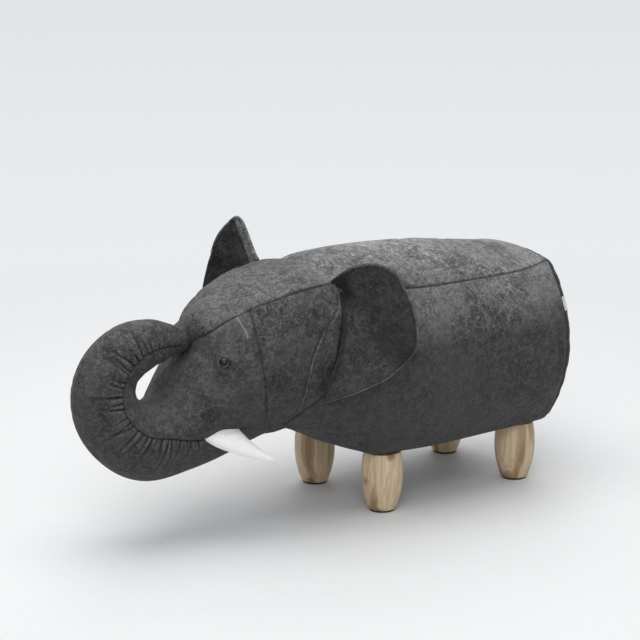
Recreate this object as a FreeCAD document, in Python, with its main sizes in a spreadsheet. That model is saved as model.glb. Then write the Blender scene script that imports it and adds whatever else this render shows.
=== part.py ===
import FreeCAD, Part
import Sketcher
import math
import os
import re

# Footstool in the shape of an elephant: a plywood box on four screwed-in legs, padded with foam,
# with a stuffed head and curled trunk, under a sewn cover of imitation leather.
# Frame: millimetres, +Z up, the animal faces -Y, the floor is z = 0.

doc = FreeCAD.newDocument("ElephantFootstool")
V = FreeCAD.Vector

# Driving sizes in millimetres, and angles in degrees where the name ends in angle
SIZES = [
    ("middle_y", 188.8),
    ("body_length", 379.0),
    ("body_width", 280.0),
    ("body_height", 262.0),
    ("rear_dome", 12.0),
    ("head_length", 190.0),
    ("head_width", 216.0),
    ("head_height", 250.0),
    ("head_drop", 57.0),
    ("trunk_reach", 106.0),
    ("trunk_rise", 117.0),
    ("trunk_width", 110.0),
    ("cover_thickness", 1.4),
    ("cover_gap", 1.0),
    ("seam_gap", 0.8),
    ("foam_gap", 0.4),
    ("overrun", 20.0),
    ("box_width", 180.0),
    ("box_rear_inset", 25.0),
    ("box_front_gap", 1.2),
    ("base_thickness", 18.0),
    ("board_thickness", 12.0),
    ("seat_board_height", 182.0),
    ("post_width", 25.0),
    ("corner_radius", 12.0),
    ("hem_overhang", 12.0),
    ("hem_width", 34.0),
    ("hem_thickness", 1.2),
    ("dust_inset", 3.0),
    ("dust_thickness", 0.8),
    ("staple_crown", 10.0),
    ("staple_wire", 0.9),
    ("staple_depth", 8.0),
    ("staple_inset", 9.0),
    ("staple_clearance", 0.05),
    ("screw_diameter", 4.0),
    ("screw_head_diameter", 8.0),
    ("screw_length", 40.0),
    ("screw_clearance", 0.1),
    ("leg_side_inset", 13.0),
    ("leg_front_inset", 14.1),
    ("leg_rear_inset", 19.9),
    ("leg_length", 81.0),
    ("leg_foot_diameter", 37.0),
    ("leg_belly_diameter", 57.0),
    ("leg_top_diameter", 51.0),
    ("leg_belly_height", 48.0),
    ("pad_diameter", 34.0),
    ("pad_thickness", 3.0),
    ("washer_diameter", 30.0),
    ("washer_thickness", 2.0),
    ("bolt_diameter", 8.0),
    ("bolt_wood_length", 32.0),
    ("bolt_end_cover", 2.0),
    ("bolt_clearance", 0.6),
    ("thread_clearance", 0.08),
    ("nut_barrel_diameter", 11.0),
    ("nut_flange_diameter", 19.0),
    ("nut_flange_thickness", 1.6),
    ("nut_length", 15.0),
    ("nut_clearance", 0.1),
    ("ear_left_reach", 99.0),
    ("ear_right_reach", 76.0),
    ("ear_left_rise", 24.0),
    ("ear_right_rise", 56.0),
    ("ear_left_cup", 9.0),
    ("ear_right_cup", 18.0),
    ("ear_layer", 2.6),
    ("ear_clearance", 1.0),
    ("ear_left_angle", 53.0),
    ("ear_right_angle", -23.0),
    ("eye_diameter", 14.0),
    ("eye_height", 5.5),
    ("eye_rim", 1.2),
    ("eye_stem_diameter", 4.0),
    ("eye_stem_length", 12.0),
    ("eye_washer_diameter", 13.0),
    ("eye_washer_thickness", 1.6),
    ("eye_clearance", 0.3),
    ("outer_clearance", 0.5),
    ("tusk_length", 72.0),
    ("tusk_root_width", 54.0),
    ("tusk_root_depth", 24.0),
    ("tusk_tip_diameter", 6.0),
    ("label_height", 20.0),
    ("label_reach", 6.0),
    ("label_thickness", 1.0),
]

sheet = doc.addObject("Spreadsheet::Sheet", "Sizes")
for line, (alias, value) in enumerate(SIZES, start=1):
    sheet.set("A%d" % line, alias)
    sheet.set("B%d" % line, str(value))
    sheet.setAlias("B%d" % line, alias)
doc.recompute()
NAMES = {alias for alias, value in SIZES}


def size(alias):
    return float(sheet.get(alias))


def formula(text):
    """An expression over the sheet, with each alias read from the sheet."""
    return re.sub(r"[a-z_]+", lambda m: "Sizes." + m[0] if m[0] in NAMES else m[0], text)


def bind(thing, **sizes):
    for name, text in sizes.items():
        thing.setExpression(name, formula(text))


def seat(thing, x, y, z):
    """Bind a piece's place, given from the floor under the middle of the box."""
    thing.setExpression("Placement.Base.x", formula(x))
    thing.setExpression("Placement.Base.y", formula("middle_y + " + y))
    thing.setExpression("Placement.Base.z", formula(z))


# Heights of the layers under the box, from the floor up
LEG_TOP = "(pad_thickness + leg_length)"
DUST_UNDER = "(pad_thickness + leg_length + washer_thickness)"
HEM_UNDER = "(pad_thickness + leg_length + washer_thickness + dust_thickness)"
BASE_UNDER = "(pad_thickness + leg_length + washer_thickness + dust_thickness + hem_thickness)"
base_under = sum(size(n) for n in
                 ("pad_thickness", "leg_length", "washer_thickness", "dust_thickness", "hem_thickness"))

# Where the rear seam and the chest lie along the body: shares of its length behind the middle and the rear
# seam. The box reaches from the rear padding to the chest.
REAR_SHARE = 0.435
CHEST_SHARE = 0.792
rear_y = REAR_SHARE * size("body_length")
BOX_REAR = "(%s * body_length - box_rear_inset)" % REAR_SHARE
BOX_FRONT = "(%s * body_length - %s * body_length + box_front_gap)" % (REAR_SHARE, CHEST_SHARE)
BOX_LENGTH = "(%s * body_length - box_rear_inset - box_front_gap)" % CHEST_SHARE

# Sections of the body from the rear seam to the ear seam. Each row: share of the length, tilt,
# then half widths and heights of the top seam, crown, widest place, lower seam and underside.
CENTRE_HEIGHT_SHARE = 0.466
BODY_SHARES = [
    (0.000, 0, 0.586, 0.851, 0.893, 0.950, 0.485, 0.700, 0.038, 0.010),
    (0.145, 0, 0.643, 0.828, 0.933, 0.993, 0.473, 0.750, 0.008, 0.000),
    (0.435, 0, 0.657, 0.828, 0.992, 1.000, 0.466, 0.764, 0.002, -0.004),
    (0.633, 0, 0.650, 0.834, 1.013, 0.993, 0.469, 0.757, 0.004, -0.002),
    (CHEST_SHARE, 0, 0.629, 0.859, 1.015, 0.936, 0.481, 0.707, 0.027, 0.008),
    (0.910, 0, 0.611, 0.897, 1.005, 0.850, 0.504, 0.621, 0.062, 0.029),
    (1.000, -4, 0.600, 0.924, 0.978, 0.771, 0.534, 0.543, 0.148, 0.108),
]
# Sections of the head from the neck seam to the trunk's root. Each row: share of the length, share of
# the drop, tilt, then the same places as above, as shares of half the head's width and height.
HEAD_SHARES = [
    (0.137, -0.210, -12, 0.750, 0.871, 0.990, 0.935, 0.064, 0.611, -0.690, -0.740),
    (0.326, -0.070, 2, 0.676, 0.848, 0.955, 0.907, 0.048, 0.556, -0.565, -0.710),
    (0.484, 0.088, 13, 0.583, 0.832, 0.910, 0.861, 0.016, 0.537, -0.470, -0.672),
    (0.663, 0.316, 22, 0.454, 0.808, 0.896, 0.796, 0.000, 0.556, -0.368, -0.650),
    (0.832, 0.667, 20, 0.167, 0.677, 0.696, 0.704, 0.032, 0.574, -0.176, -0.582),
    (1.000, 1.000, 6, 0.111, 0.590, 0.600, 0.593, 0.128, 0.537, -0.064, -0.490),
]
# Sections of the trunk along its curl. Each row: share of the reach, share of the rise, tilt, share of
# half the trunk's width.
TRUNK_SHARES = [
    (0.358, -0.094, -14, 1.000),
    (0.708, 0.000, -42, 0.850),
    (0.960, 0.239, -68, 0.765),
    (1.028, 0.521, -95, 0.710),
    (0.906, 0.790, -126, 0.655),
    (0.642, 0.966, -158, 0.580),
    (0.340, 1.009, -181, 0.482),
    (0.113, 0.979, -192, 0.382),
    (-0.047, 0.949, -200, 0.318),
]
# A round trunk section in shares of its radius, in the order of the rows above
ROUND_SHARES = (0.25, 0.97, 1.00, 0.80, 0.60, 0.98, 0.18, -1.05)
# Where the lower arc's middle point lies between the lower seam and the underside
LOW_WIDTH_SHARE = 0.72
LOW_HEIGHT_SHARE = 0.29


class Section:
    """A cross-section of the animal in a plane that stands across its spine."""

    def __init__(self, y, z, tilt, widths_and_heights):
        seam_w, seam_h, crown, wide_w, wide_h, low_w, low_h, under = widths_and_heights
        self.y = y
        self.z = z
        self.tilt = tilt
        self.seam = (seam_w, seam_h)
        self.crown = (0.0, crown)
        self.wide = (wide_w, wide_h)
        self.low = (low_w, low_h)
        self.low_middle = (LOW_WIDTH_SHARE * low_w, under + LOW_HEIGHT_SHARE * (low_h - under))
        self.under = (0.0, under)

    def moved(self, forward):
        """The same section, moved along the spine."""
        angle = math.radians(self.tilt)
        copy = Section(self.y, self.z, self.tilt, self.numbers())
        copy.y -= forward * math.cos(angle)
        copy.z -= forward * math.sin(angle)
        return copy

    def scaled(self, share, back):
        """The section drawn in to a share of its size, for a domed end, and moved back."""
        middle = (self.seam[1] + self.low[1]) / 2
        numbers = []
        for index, number in enumerate(self.numbers()):
            is_width = index in (0, 3, 5)
            numbers.append(number * share if is_width else middle + (number - middle) * share)
        copy = Section(self.y, self.z, self.tilt, numbers)
        return copy.moved(-back)

    def numbers(self):
        return (self.seam[0], self.seam[1], self.crown[1], self.wide[0], self.wide[1],
                self.low[0], self.low[1], self.under[1])

    def point(self, place, side=1):
        """A point of the section in space. side is 1 on the animal's left and -1 on its right."""
        angle = math.radians(self.tilt)
        return V(side * place[0], self.y - place[1] * math.sin(angle), self.z + place[1] * math.cos(angle))


def circle(first, middle, last):
    """Centre and radius of the circle through three points of a section."""
    (ax, ay), (bx, by), (cx, cy) = first, middle, last
    twice = 2 * (ax * (by - cy) + bx * (cy - ay) + cx * (ay - by))
    a, b, c = ax * ax + ay * ay, bx * bx + by * by, cx * cx + cy * cy
    x = (a * (by - cy) + b * (cy - ay) + c * (ay - by)) / twice
    y = (a * (cx - bx) + b * (ax - cx) + c * (bx - ax)) / twice
    return x, y, math.hypot(ax - x, ay - y)


def outward(place, arc):
    """The unit normal of an arc at a place on it, pointing out of the section."""
    x, y, radius = circle(*arc)
    normal = ((place[0] - x) / radius, (place[1] - y) / radius)
    middle = arc[1]
    inside_out = (middle[0] - x) * middle[0] + (middle[1] - y) * middle[1] < 0
    return (-normal[0], -normal[1]) if inside_out else normal


def inset(place, normals, depth):
    """A corner moved inwards by depth from both of its arcs."""
    one, other = normals[0], normals[-1]
    share = depth / (1 + one[0] * other[0] + one[1] * other[1])
    return place[0] - (one[0] + other[0]) * share, place[1] - (one[1] + other[1]) * share


def arcs_of(section):
    """The top, side and lower arc of a section's left half, each as three places."""
    left_seam = (-section.seam[0], section.seam[1])
    return {"top": (section.seam, section.crown, left_seam),
            "side": (section.seam, section.wide, section.low),
            "low": (section.low, section.low_middle, section.under)}


def arc_edge(first, middle, last):
    return Part.Arc(first, middle, last).toShape()


def full_wire(section, depth, flat_bottom=False):
    """The closed outline of a section, drawn in by depth all round."""
    arcs = arcs_of(section)
    seam_normals = outward(section.seam, arcs["top"]), outward(section.seam, arcs["side"])
    seam = inset(section.seam, seam_normals, depth)
    crown = (0.0, section.crown[1] - depth)
    wide = inset(section.wide, (outward(section.wide, arcs["side"]),) * 2, depth)
    below = (0.0, -1.0) if flat_bottom else outward(section.low, arcs["low"])
    low = inset(section.low, (outward(section.low, arcs["side"]), below), depth)
    under = (0.0, section.under[1] + depth)
    low_middle = inset(section.low_middle, (outward(section.low_middle, arcs["low"]),) * 2, depth)
    at = section.point
    edges = [arc_edge(at(seam, -1), at(crown), at(seam)), arc_edge(at(seam), at(wide), at(low))]
    if flat_bottom:
        edges.append(Part.LineSegment(at(low), at(low, -1)).toShape())
    else:
        edges.append(arc_edge(at(low), at(low_middle), at(under)))
        edges.append(arc_edge(at(under), at(low_middle, -1), at(low, -1)))
    edges.append(arc_edge(at(low, -1), at(wide, -1), at(seam, -1)))
    return Part.Wire(edges)


def arc_ends(arc, depth, trim_start, trim_end):
    """An arc moved inwards by depth, with its ends drawn back along it."""
    x, y, radius = circle(*arc)
    moved = []
    for place, trim, other in ((arc[0], trim_start, arc[1]), (arc[1], 0.0, arc[2]),
                               (arc[2], trim_end, arc[1])):
        angle = math.atan2(place[1] - y, place[0] - x)
        towards = math.atan2(other[1] - y, other[0] - x) - angle
        turn = math.copysign(trim / radius, math.atan2(math.sin(towards), math.cos(towards)))
        at = (x + radius * math.cos(angle + turn), y + radius * math.sin(angle + turn))
        moved.append(inset(at, (outward(at, arc),) * 2, depth))
    return moved


def panel_wire(section, kind, side, outer, inner):
    """The closed outline of one cover panel in a section, between two depths."""
    trim = size("seam_gap") / 2
    arcs = arcs_of(section)
    at = section.point
    if kind in ("top", "side"):
        out = arc_ends(arcs[kind], outer, trim, trim)
        back = arc_ends(arcs[kind], inner, trim, trim)
        points = [at(p, side) for p in out] + [at(p, side) for p in reversed(back)]
        chain = [points[:3], [points[2], points[3]], points[3:], [points[5], points[0]]]
    else:
        out = arc_ends(arcs["low"], outer, trim, 0.0)
        back = arc_ends(arcs["low"], inner, trim, 0.0)
        out[2] = (0.0, section.under[1] + outer)
        back[2] = (0.0, section.under[1] + inner)
        left, right = [at(p) for p in out], [at(p, -1) for p in out]
        left_in, right_in = [at(p) for p in back], [at(p, -1) for p in back]
        chain = [left, right[::-1], [right[0], right_in[0]], right_in, left_in[::-1], [left_in[0], left[0]]]
    edges = [arc_edge(*c) if len(c) == 3 else Part.LineSegment(*c).toShape() for c in chain]
    return Part.Wire(edges)


def loft(wires):
    """A closed skin through sections, of the second degree so that it keeps close to them."""
    return Part.makeLoft(wires, True, False, False, 2)


def piece(label, shape):
    """A piece whose shape comes from sections, placed with the rest of the animal."""
    thing = doc.addObject("Part::Feature", label)
    thing.Label = label
    thing.Shape = shape
    seat(thing, "0", "0", "0")
    return thing


# The sections themselves
half_width = size("body_width") / 2
body = []
centre_z = base_under + CENTRE_HEIGHT_SHARE * size("body_height")
for along, tilt, *shares in BODY_SHARES:
    seam_w, seam_h, crown, wide_w, wide_h, low_w, low_h, under = shares
    heights = [(share - CENTRE_HEIGHT_SHARE) * size("body_height")
               for share in (seam_h, crown, wide_h, low_h, under)]
    body.append(Section(rear_y - along * size("body_length"), centre_z, tilt, (
        seam_w * half_width, heights[0], heights[1], wide_w * half_width, heights[2],
        low_w * half_width, heights[3], heights[4])))
neck_y = rear_y - size("body_length")

head = []
for along, drop, tilt, *shares in HEAD_SHARES:
    numbers = [s * size("head_width" if i in (0, 3, 5) else "head_height") / 2 for i, s in enumerate(shares)]
    y = neck_y - along * size("head_length")
    head.append(Section(y, centre_z - drop * size("head_drop"), tilt, numbers))

trunk = []
for reach, rise, tilt, share in TRUNK_SHARES:
    radius = share * size("trunk_width") / 2
    y = neck_y - size("head_length") - reach * size("trunk_reach")
    z = centre_z - size("head_drop") + rise * size("trunk_rise")
    trunk.append(Section(y, z, tilt, [s * radius for s in ROUND_SHARES]))

# All rows in one line along the spine, and the rows at which the cover is sewn
spine = body + head + trunk
REAR_SEAM, CHEST, EAR_SEAM = (spine.index(row) for row in (body[0], body[-3], body[-1]))
NECK_SEAM, DART_SEAM, EYE_ROW = (spine.index(row) for row in (head[0], head[2], head[3]))
TRUNK_ROOT, TIP = (spine.index(row) for row in (head[-1], trunk[-1]))
BETWEEN_SHARES = (1 / 3, 2 / 3)


def blended(row, share):
    """A section between a row of the spine and the next, on a smooth line through the rows around them."""
    rows = [spine[min(max(row + step, 0), TIP)] for step in (-1, 0, 1, 2)]
    steps = [math.hypot(b.y - a.y, b.z - a.z) for a, b in zip(rows, rows[1:])]
    tables = [(s.y, s.z, s.tilt) + s.numbers() for s in rows]
    values = []
    for before, start, end, after in zip(*tables):
        leave = (end - before) / (steps[0] + steps[1]) * steps[1]
        arrive = (after - start) / (steps[1] + steps[2]) * steps[1]
        bend = start - end
        values.append(start + share * (leave + share * (-3 * bend - 2 * leave - arrive
                                                        + share * (2 * bend + leave + arrive))))
    return Section(values[0], values[1], values[2], values[3:])


def run(first, last, start=0.0, end=0.0):
    """The sections from one row to another, the end ones drawn in along the spine."""
    sections = [spine[first].moved(start)]
    for row in range(first, last):
        sections += [blended(row, share) for share in BETWEEN_SHARES]
        sections.append(spine[row + 1])
    sections[-1] = spine[last].moved(-end)
    return sections


half_seam = size("seam_gap") / 2
cover = size("cover_thickness")
filling_depth = cover + size("cover_gap")


# Foam of the body: one padded block, parted by the faces of the wooden box
def foam_block(sections):
    return loft([full_wire(s, filling_depth, flat_bottom=True) for s in sections])


def half_space(x_from, x_to, y_from, y_to, z_from, z_to):
    return Part.makeBox(x_to - x_from, y_to - y_from, z_to - z_from, V(x_from, y_from, z_from))


far = size("body_length") + size("overrun")
box_half = size("box_width") / 2
box_rear = rear_y - size("box_rear_inset")
seat_top = base_under + size("seat_board_height") + size("board_thickness")
gap = size("foam_gap")
block = foam_block(run(REAR_SEAM, CHEST))
seat_foam = block.common(half_space(-far, far, -far, far, seat_top, seat_top + far))
below = block.common(half_space(-far, far, -far, far, base_under, seat_top - gap))
side_foam = below.common(half_space(box_half, far, -far, far, 0, far))
side_foam_right = below.common(half_space(-far, -box_half, -far, far, 0, far))
rear_block = below.common(half_space(-box_half + gap, box_half - gap, box_rear, far, 0, far))

DOME_SHARES = ((1.0, 0.0), (0.86, 0.52), (0.58, 0.88), (0.26, 1.0))


def dome(depth, start):
    """The swelling rear end, drawn in by depth."""
    height = size("rear_dome") - depth
    sections = [body[0].scaled(share, start + rise * height) for share, rise in DOME_SHARES]
    return loft([full_wire(s, depth, flat_bottom=True) for s in sections])


rear_foam = rear_block.fuse(dome(filling_depth, 0.0)).removeSplitter()
piece("seat_foam", seat_foam)
piece("side_foam_left", side_foam)
piece("side_foam_right", side_foam_right)
piece("rear_foam", rear_foam)

chest = run(CHEST, EAR_SEAM, gap, half_seam)
piece("chest_foam", loft([full_wire(s, filling_depth) for s in chest]))

# Stuffing of the head, with pockets for the eyes' stems, and of the trunk
head_sections = run(EAR_SEAM, TRUNK_ROOT, half_seam, half_seam)
head_filling = loft([full_wire(s, filling_depth) for s in head_sections])
trunk_sections = run(TRUNK_ROOT, TIP, half_seam, cover)
trunk_filling = loft([full_wire(s, filling_depth) for s in trunk_sections])


# Cover panels, each a thin shell between seams
def panel(kind, side, first, last):
    """A panel from one row to another, drawn back from the seams at its two ends."""
    end = half_seam if last < TIP else 0.0
    return loft([panel_wire(s, kind, side, 0.0, cover) for s in run(first, last, half_seam, end)])


piece("cover_top", panel("top", 1, REAR_SEAM, TRUNK_ROOT))
piece("trunk_inner_strip", panel("top", 1, TRUNK_ROOT, TIP))
piece("cover_chin", panel("low", 1, CHEST, TIP))
cover_faces = {}
for name, side in (("left", 1), ("right", -1)):
    piece("cover_side_" + name, panel("side", side, REAR_SEAM, EAR_SEAM))
    piece("cover_neck_" + name, panel("side", side, EAR_SEAM, NECK_SEAM))
    piece("cover_cheek_" + name, panel("side", side, NECK_SEAM, DART_SEAM))
    cover_faces[name] = panel("side", side, DART_SEAM, TIP)

piece("cover_rear", dome(0.0, half_seam).cut(dome(cover, 0.0)))

# Eyes on the face panels: a domed button on a stem, held by a washer inside
EYE_BETWEEN_SHARE = 0.56
EYE_DOWN_SHARE = 0.32


def on_side(first, second, between, down):
    """A point on the side arcs between two sections, and the way out of the animal there."""
    places = []
    for section in (first, second):
        arc = arcs_of(section)["side"]
        x, y, radius = circle(*arc)
        start, end = (math.atan2(p[1] - y, p[0] - x) for p in (arc[0], arc[2]))
        angle = start + (end - start) * down
        place = (x + radius * math.cos(angle), y + radius * math.sin(angle))
        normal = outward(place, arc)
        base = section.point(place)
        places.append((base, section.point((place[0] + normal[0], place[1] + normal[1])) - base))
    point = places[0][0] * (1 - between) + places[1][0] * between
    return point, (places[0][1] * (1 - between) + places[1][1] * between).normalize()


def mirrored(shape):
    return shape.mirror(V(0, 0, 0), V(1, 0, 0))


eye_point, eye_out = on_side(spine[EYE_ROW], spine[EYE_ROW + 1], EYE_BETWEEN_SHARE, EYE_DOWN_SHARE)
eye_probe = eye_point + eye_out * size("overrun")
eye_point = cover_faces["left"].distToShape(Part.Vertex(eye_probe))[1][0][0]
eye_out = (eye_probe - eye_point).normalize()
eye_radius = size("eye_diameter") / 2
eye_level = eye_out.cross(V(0, 0, 1)).normalize()
eye_upright = eye_out.cross(eye_level)
RIM_TURNS = [math.pi * eighth / 4 for eighth in range(8)]
rises = [0.0]
for turn in RIM_TURNS:
    above = eye_probe + (eye_level * math.cos(turn) + eye_upright * math.sin(turn)) * eye_radius
    rises.append((eye_probe - eye_point).Length - cover_faces["left"].distToShape(Part.Vertex(above))[0])
eye_seat = eye_point + eye_out * (max(rises) + size("eye_clearance"))
stem_radius = size("eye_stem_diameter") / 2
cap_radius = (eye_radius ** 2 + size("eye_height") ** 2) / (2 * size("eye_height"))
cap_level = size("eye_rim") + size("eye_height") - cap_radius
cap_turn = math.asin(eye_radius / cap_radius) / 2


def eye_at(out_from_axis, height):
    """A place of the eye's profile, by its distance from the eye's axis and its height over the seat."""
    return eye_seat + eye_level * out_from_axis + eye_out * height


eye_corners = [eye_at(0, -size("eye_stem_length")), eye_at(stem_radius, -size("eye_stem_length")),
               eye_at(stem_radius, 0), eye_at(eye_radius, 0), eye_at(eye_radius, size("eye_rim"))]
eye_top = eye_at(0, size("eye_rim") + size("eye_height"))
cap_middle = eye_at(cap_radius * math.sin(cap_turn), cap_level + cap_radius * math.cos(cap_turn))
eye_edges = [Part.LineSegment(one, other).toShape() for one, other in zip(eye_corners, eye_corners[1:])]
eye_edges.append(arc_edge(eye_corners[-1], cap_middle, eye_top))
eye_edges.append(Part.LineSegment(eye_top, eye_corners[0]).toShape())
eye_left = Part.Face(Part.Wire(eye_edges)).revolve(eye_seat, eye_out, 360)
washer_radius = size("eye_washer_diameter") / 2
washer_start = eye_point - eye_out * (filling_depth + size("cover_gap"))
eye_washer = Part.makeCylinder(washer_radius, size("eye_washer_thickness"), washer_start, -eye_out)
eye_hole = Part.makeCylinder(stem_radius + size("thread_clearance"), size("overrun"), eye_seat, -eye_out)
eye_washer = eye_washer.cut(eye_hole)
pocket_radius = washer_radius + size("eye_clearance")
pocket_depth = size("eye_stem_length") + size("eye_clearance")
eye_pocket = Part.makeCylinder(pocket_radius, pocket_depth, eye_seat, -eye_out)
hole_start = eye_point + eye_out * cover
stem_hole = Part.makeCylinder(stem_radius + size("eye_clearance"), size("overrun"), hole_start, -eye_out)

piece("eye_left", eye_left)
piece("eye_right", mirrored(eye_left))
piece("eye_washers", Part.makeCompound([eye_washer, mirrored(eye_washer)]))
piece("cover_face_left", cover_faces["left"].cut(stem_hole))
piece("cover_face_right", cover_faces["right"].cut(mirrored(stem_hole)))
piece("head_filling", head_filling.cut(eye_pocket).cut(mirrored(eye_pocket)))
piece("trunk_filling", trunk_filling)

# Tusks: flattened stuffed cones that leave the lower seam outwards, backwards and down
TUSK_WAY = V(0.60, 0.62, -0.46).normalize()
TUSK_ROOT_BETWEEN_SHARE = 0.53
TUSK_SINK_SHARE = 0.16
TUSK_SHARES = ((0.0, 1.0), (0.35, 0.86), (0.72, 0.52), (1.0, 0.0))
low_ends = [spine[row].point(spine[row].low) for row in (EYE_ROW, TRUNK_ROOT)]
tusk_root = low_ends[0] * (1 - TUSK_ROOT_BETWEEN_SHARE) + low_ends[1] * TUSK_ROOT_BETWEEN_SHARE
along_seam = (low_ends[0] - low_ends[1]).normalize()
across = TUSK_WAY.cross(along_seam).normalize()


def oval_wire(centre, broad_radius, thin_radius):
    """An oval of four arcs, each under a half circle."""
    turn = math.sqrt(0.5)
    ends = [centre + along_seam * broad_radius, centre + across * thin_radius,
            centre - along_seam * broad_radius, centre - across * thin_radius]
    middles = []
    for one, other in ((1, 1), (-1, 1), (-1, -1), (1, -1)):
        broad = along_seam * (one * turn * broad_radius)
        middles.append(centre + broad + across * (other * turn * thin_radius))
    return Part.Wire([arc_edge(ends[i], middles[i], ends[(i + 1) % 4]) for i in range(4)])


tusk_wires = []
tip_radius = size("tusk_tip_diameter") / 2
for along, share in TUSK_SHARES:
    centre = tusk_root + TUSK_WAY * ((along * (1 + TUSK_SINK_SHARE) - TUSK_SINK_SHARE) * size("tusk_length"))
    broad_radius = tip_radius + share * (size("tusk_root_width") / 2 - tip_radius)
    thin_radius = tip_radius + share * (size("tusk_root_depth") / 2 - tip_radius)
    tusk_wires.append(oval_wire(centre, broad_radius, thin_radius))
head_outside = loft([full_wire(s, -size("outer_clearance")) for s in run(NECK_SEAM + 1, TRUNK_ROOT + 2)])
tusk = loft(tusk_wires).cut(head_outside)
tusk = max(tusk.Solids, key=lambda solid: solid.Volume)
piece("tusk_left", tusk)
piece("tusk_right", mirrored(tusk))

# Ears: two sewn layers, cut as level slices. The root starts at the top of the ear seam and leans forwards
# towards its foot, and the flap leaves it at an angle. Each slice: its level, where the flap starts and ends
# as shares of its reach, and the share of its cup. Levels up to 1 are shares of the root's height, and the
# rest above 1 are shares of the ear's rise over the root.
EAR_SHARES = {
    "left": [
        (0.00, 0.00, 0.27, 0.1), (0.10, 0.00, 0.60, 0.4), (0.24, 0.00, 0.84, 0.8), (0.44, 0.00, 1.00, 1.0),
        (0.64, 0.00, 0.96, 1.0), (0.84, 0.00, 0.93, 1.0), (1.00, 0.00, 0.87, 1.0), (1.40, 0.10, 0.82, 1.0),
        (1.76, 0.22, 0.73, 1.0), (2.00, 0.37, 0.57, 1.0)],
    "right": [
        (0.00, 0.00, 0.24, 0.1), (0.10, 0.00, 0.56, 0.4), (0.34, 0.00, 0.82, 1.0), (0.62, 0.00, 0.95, 1.0),
        (0.87, 0.00, 0.99, 1.0), (1.00, 0.00, 1.00, 1.0), (1.36, 0.18, 0.94, 1.0), (1.71, 0.36, 0.79, 1.0),
        (2.00, 0.48, 0.61, 1.0)],
}
EAR_FOOT_DOWN_SHARE = 0.70
EAR_LEAN_SHARE = 0.60
ear_seam = spine[EAR_SEAM]
ear_foot_z = on_side(ear_seam, ear_seam, 0.0, EAR_FOOT_DOWN_SHARE)[0].z
ear_top_z = ear_seam.point(ear_seam.seam).z
root_height = ear_top_z - ear_foot_z


half_gap = gap / 2
layer = size("ear_layer")


def ear_root(z, angle):
    """The place on the ear's root at a height, clear of the cover for both layers of a flap at an angle."""
    level = min(z, ear_top_z)
    row = blended(EAR_SEAM, EAR_LEAN_SHARE * (ear_top_z - level) / root_height)
    height = (level - row.z) / math.cos(math.radians(row.tilt))
    x, y, radius = circle(*arcs_of(row)["side"])
    place = (x + math.sqrt(radius ** 2 - (height - y) ** 2), height)
    normal = outward(place, arcs_of(row)["side"])
    clear = size("ear_clearance") + (half_gap + layer) * abs(math.sin(angle))
    return row.point((place[0] + clear / normal[0], place[1]))


def ear_slices(name):
    """The slices of one ear: height, start and end of the flap, and share of the cup."""
    rise = size("ear_%s_rise" % name)
    rows = []
    for level, *flap in EAR_SHARES[name]:
        rows.append((ear_foot_z + min(level, 1) * root_height + max(level - 1, 0) * rise, *flap))
    slices = [rows[0]]
    for number in range(1, len(rows)):
        around = [rows[min(max(number + step, 0), len(rows) - 1)] for step in (-2, -1, 0, 1)]
        slices.append(tuple((9 * (b + c) - a - d) / 16 for a, b, c, d in zip(*around)))
        slices.append(rows[number])
    return slices


def ear_layer(name, inner, outer):
    """One layer of an ear, between two distances in front of its middle surface."""
    angle = math.radians(size("ear_%s_angle" % name))
    way = V(math.cos(angle), math.sin(angle), 0)
    front = V(math.sin(angle), -math.cos(angle), 0)
    wires = []
    for z, start, end, cup_share in ear_slices(name):
        root = ear_root(z, angle)
        root.z = z
        points = []
        for share in (start, (start + end) / 2, end):
            hollow = cup_share * size("ear_%s_cup" % name) * math.sin(math.pi * share)
            points.append(root + way * (share * size("ear_%s_reach" % name)) - front * hollow)
        near = [p + front * inner for p in points]
        away = [p + front * outer for p in points]
        wires.append(Part.Wire([arc_edge(*near), Part.LineSegment(near[2], away[2]).toShape(),
                                arc_edge(*away[::-1]), Part.LineSegment(away[0], near[0]).toShape()]))
    return loft(wires)


for name, turn in (("left", lambda shape: shape), ("right", mirrored)):
    piece("ear_front_" + name, turn(ear_layer(name, half_gap, half_gap + layer)))
    piece("ear_back_" + name, turn(ear_layer(name, -half_gap - layer, -half_gap)))

# Blank sewn-in label on the rear seam
LABEL_DOWN_SHARE = 0.29
label_at, label_out = on_side(body[0], body[0], 0.0, LABEL_DOWN_SHARE)
label = doc.addObject("Part::Box", "side_label")
bind(label, Length="label_reach", Width="label_thickness", Height="label_height")
label_turn = FreeCAD.Rotation(V(1, 0, 0), label_out)
label_half = label_turn.multVec(V(0, 0, size("label_height") / 2))
label_base = label_at + label_out * size("eye_clearance") - label_half
label.Placement = FreeCAD.Placement(label_base + V(0, size("middle_y"), 0), label_turn)


# Wooden box
def board(label, length, width, height, x, y, z):
    """A flat board with one corner at x, y, z."""
    thing = doc.addObject("Part::Box", label)
    thing.Label = label
    bind(thing, Length=length, Width=width, Height=height)
    seat(thing, x, y, z)
    return thing


def rod(name, diameter, height, x, y, z):
    """A cylinder along Z from x, y, z."""
    thing = doc.addObject("Part::Cylinder", name)
    bind(thing, Radius="(%s) / 2" % diameter, Height=height)
    seat(thing, x, y, z)
    return thing


def group(name, things):
    thing = doc.addObject("Part::Compound", name)
    thing.Links = things
    return thing


def cut(label, base, tool):
    thing = doc.addObject("Part::Cut", label)
    thing.Label = label
    thing.Base = base
    thing.Tool = tool
    return thing


BASE_TOP = "(%s + base_thickness)" % BASE_UNDER
WALL_HEIGHT = "(seat_board_height - base_thickness)"
SEAT_UNDER = "(%s + seat_board_height)" % BASE_UNDER
LEGS = [("front_left", 1, -1), ("front_right", -1, -1), ("rear_left", 1, 1), ("rear_right", -1, 1)]


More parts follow.
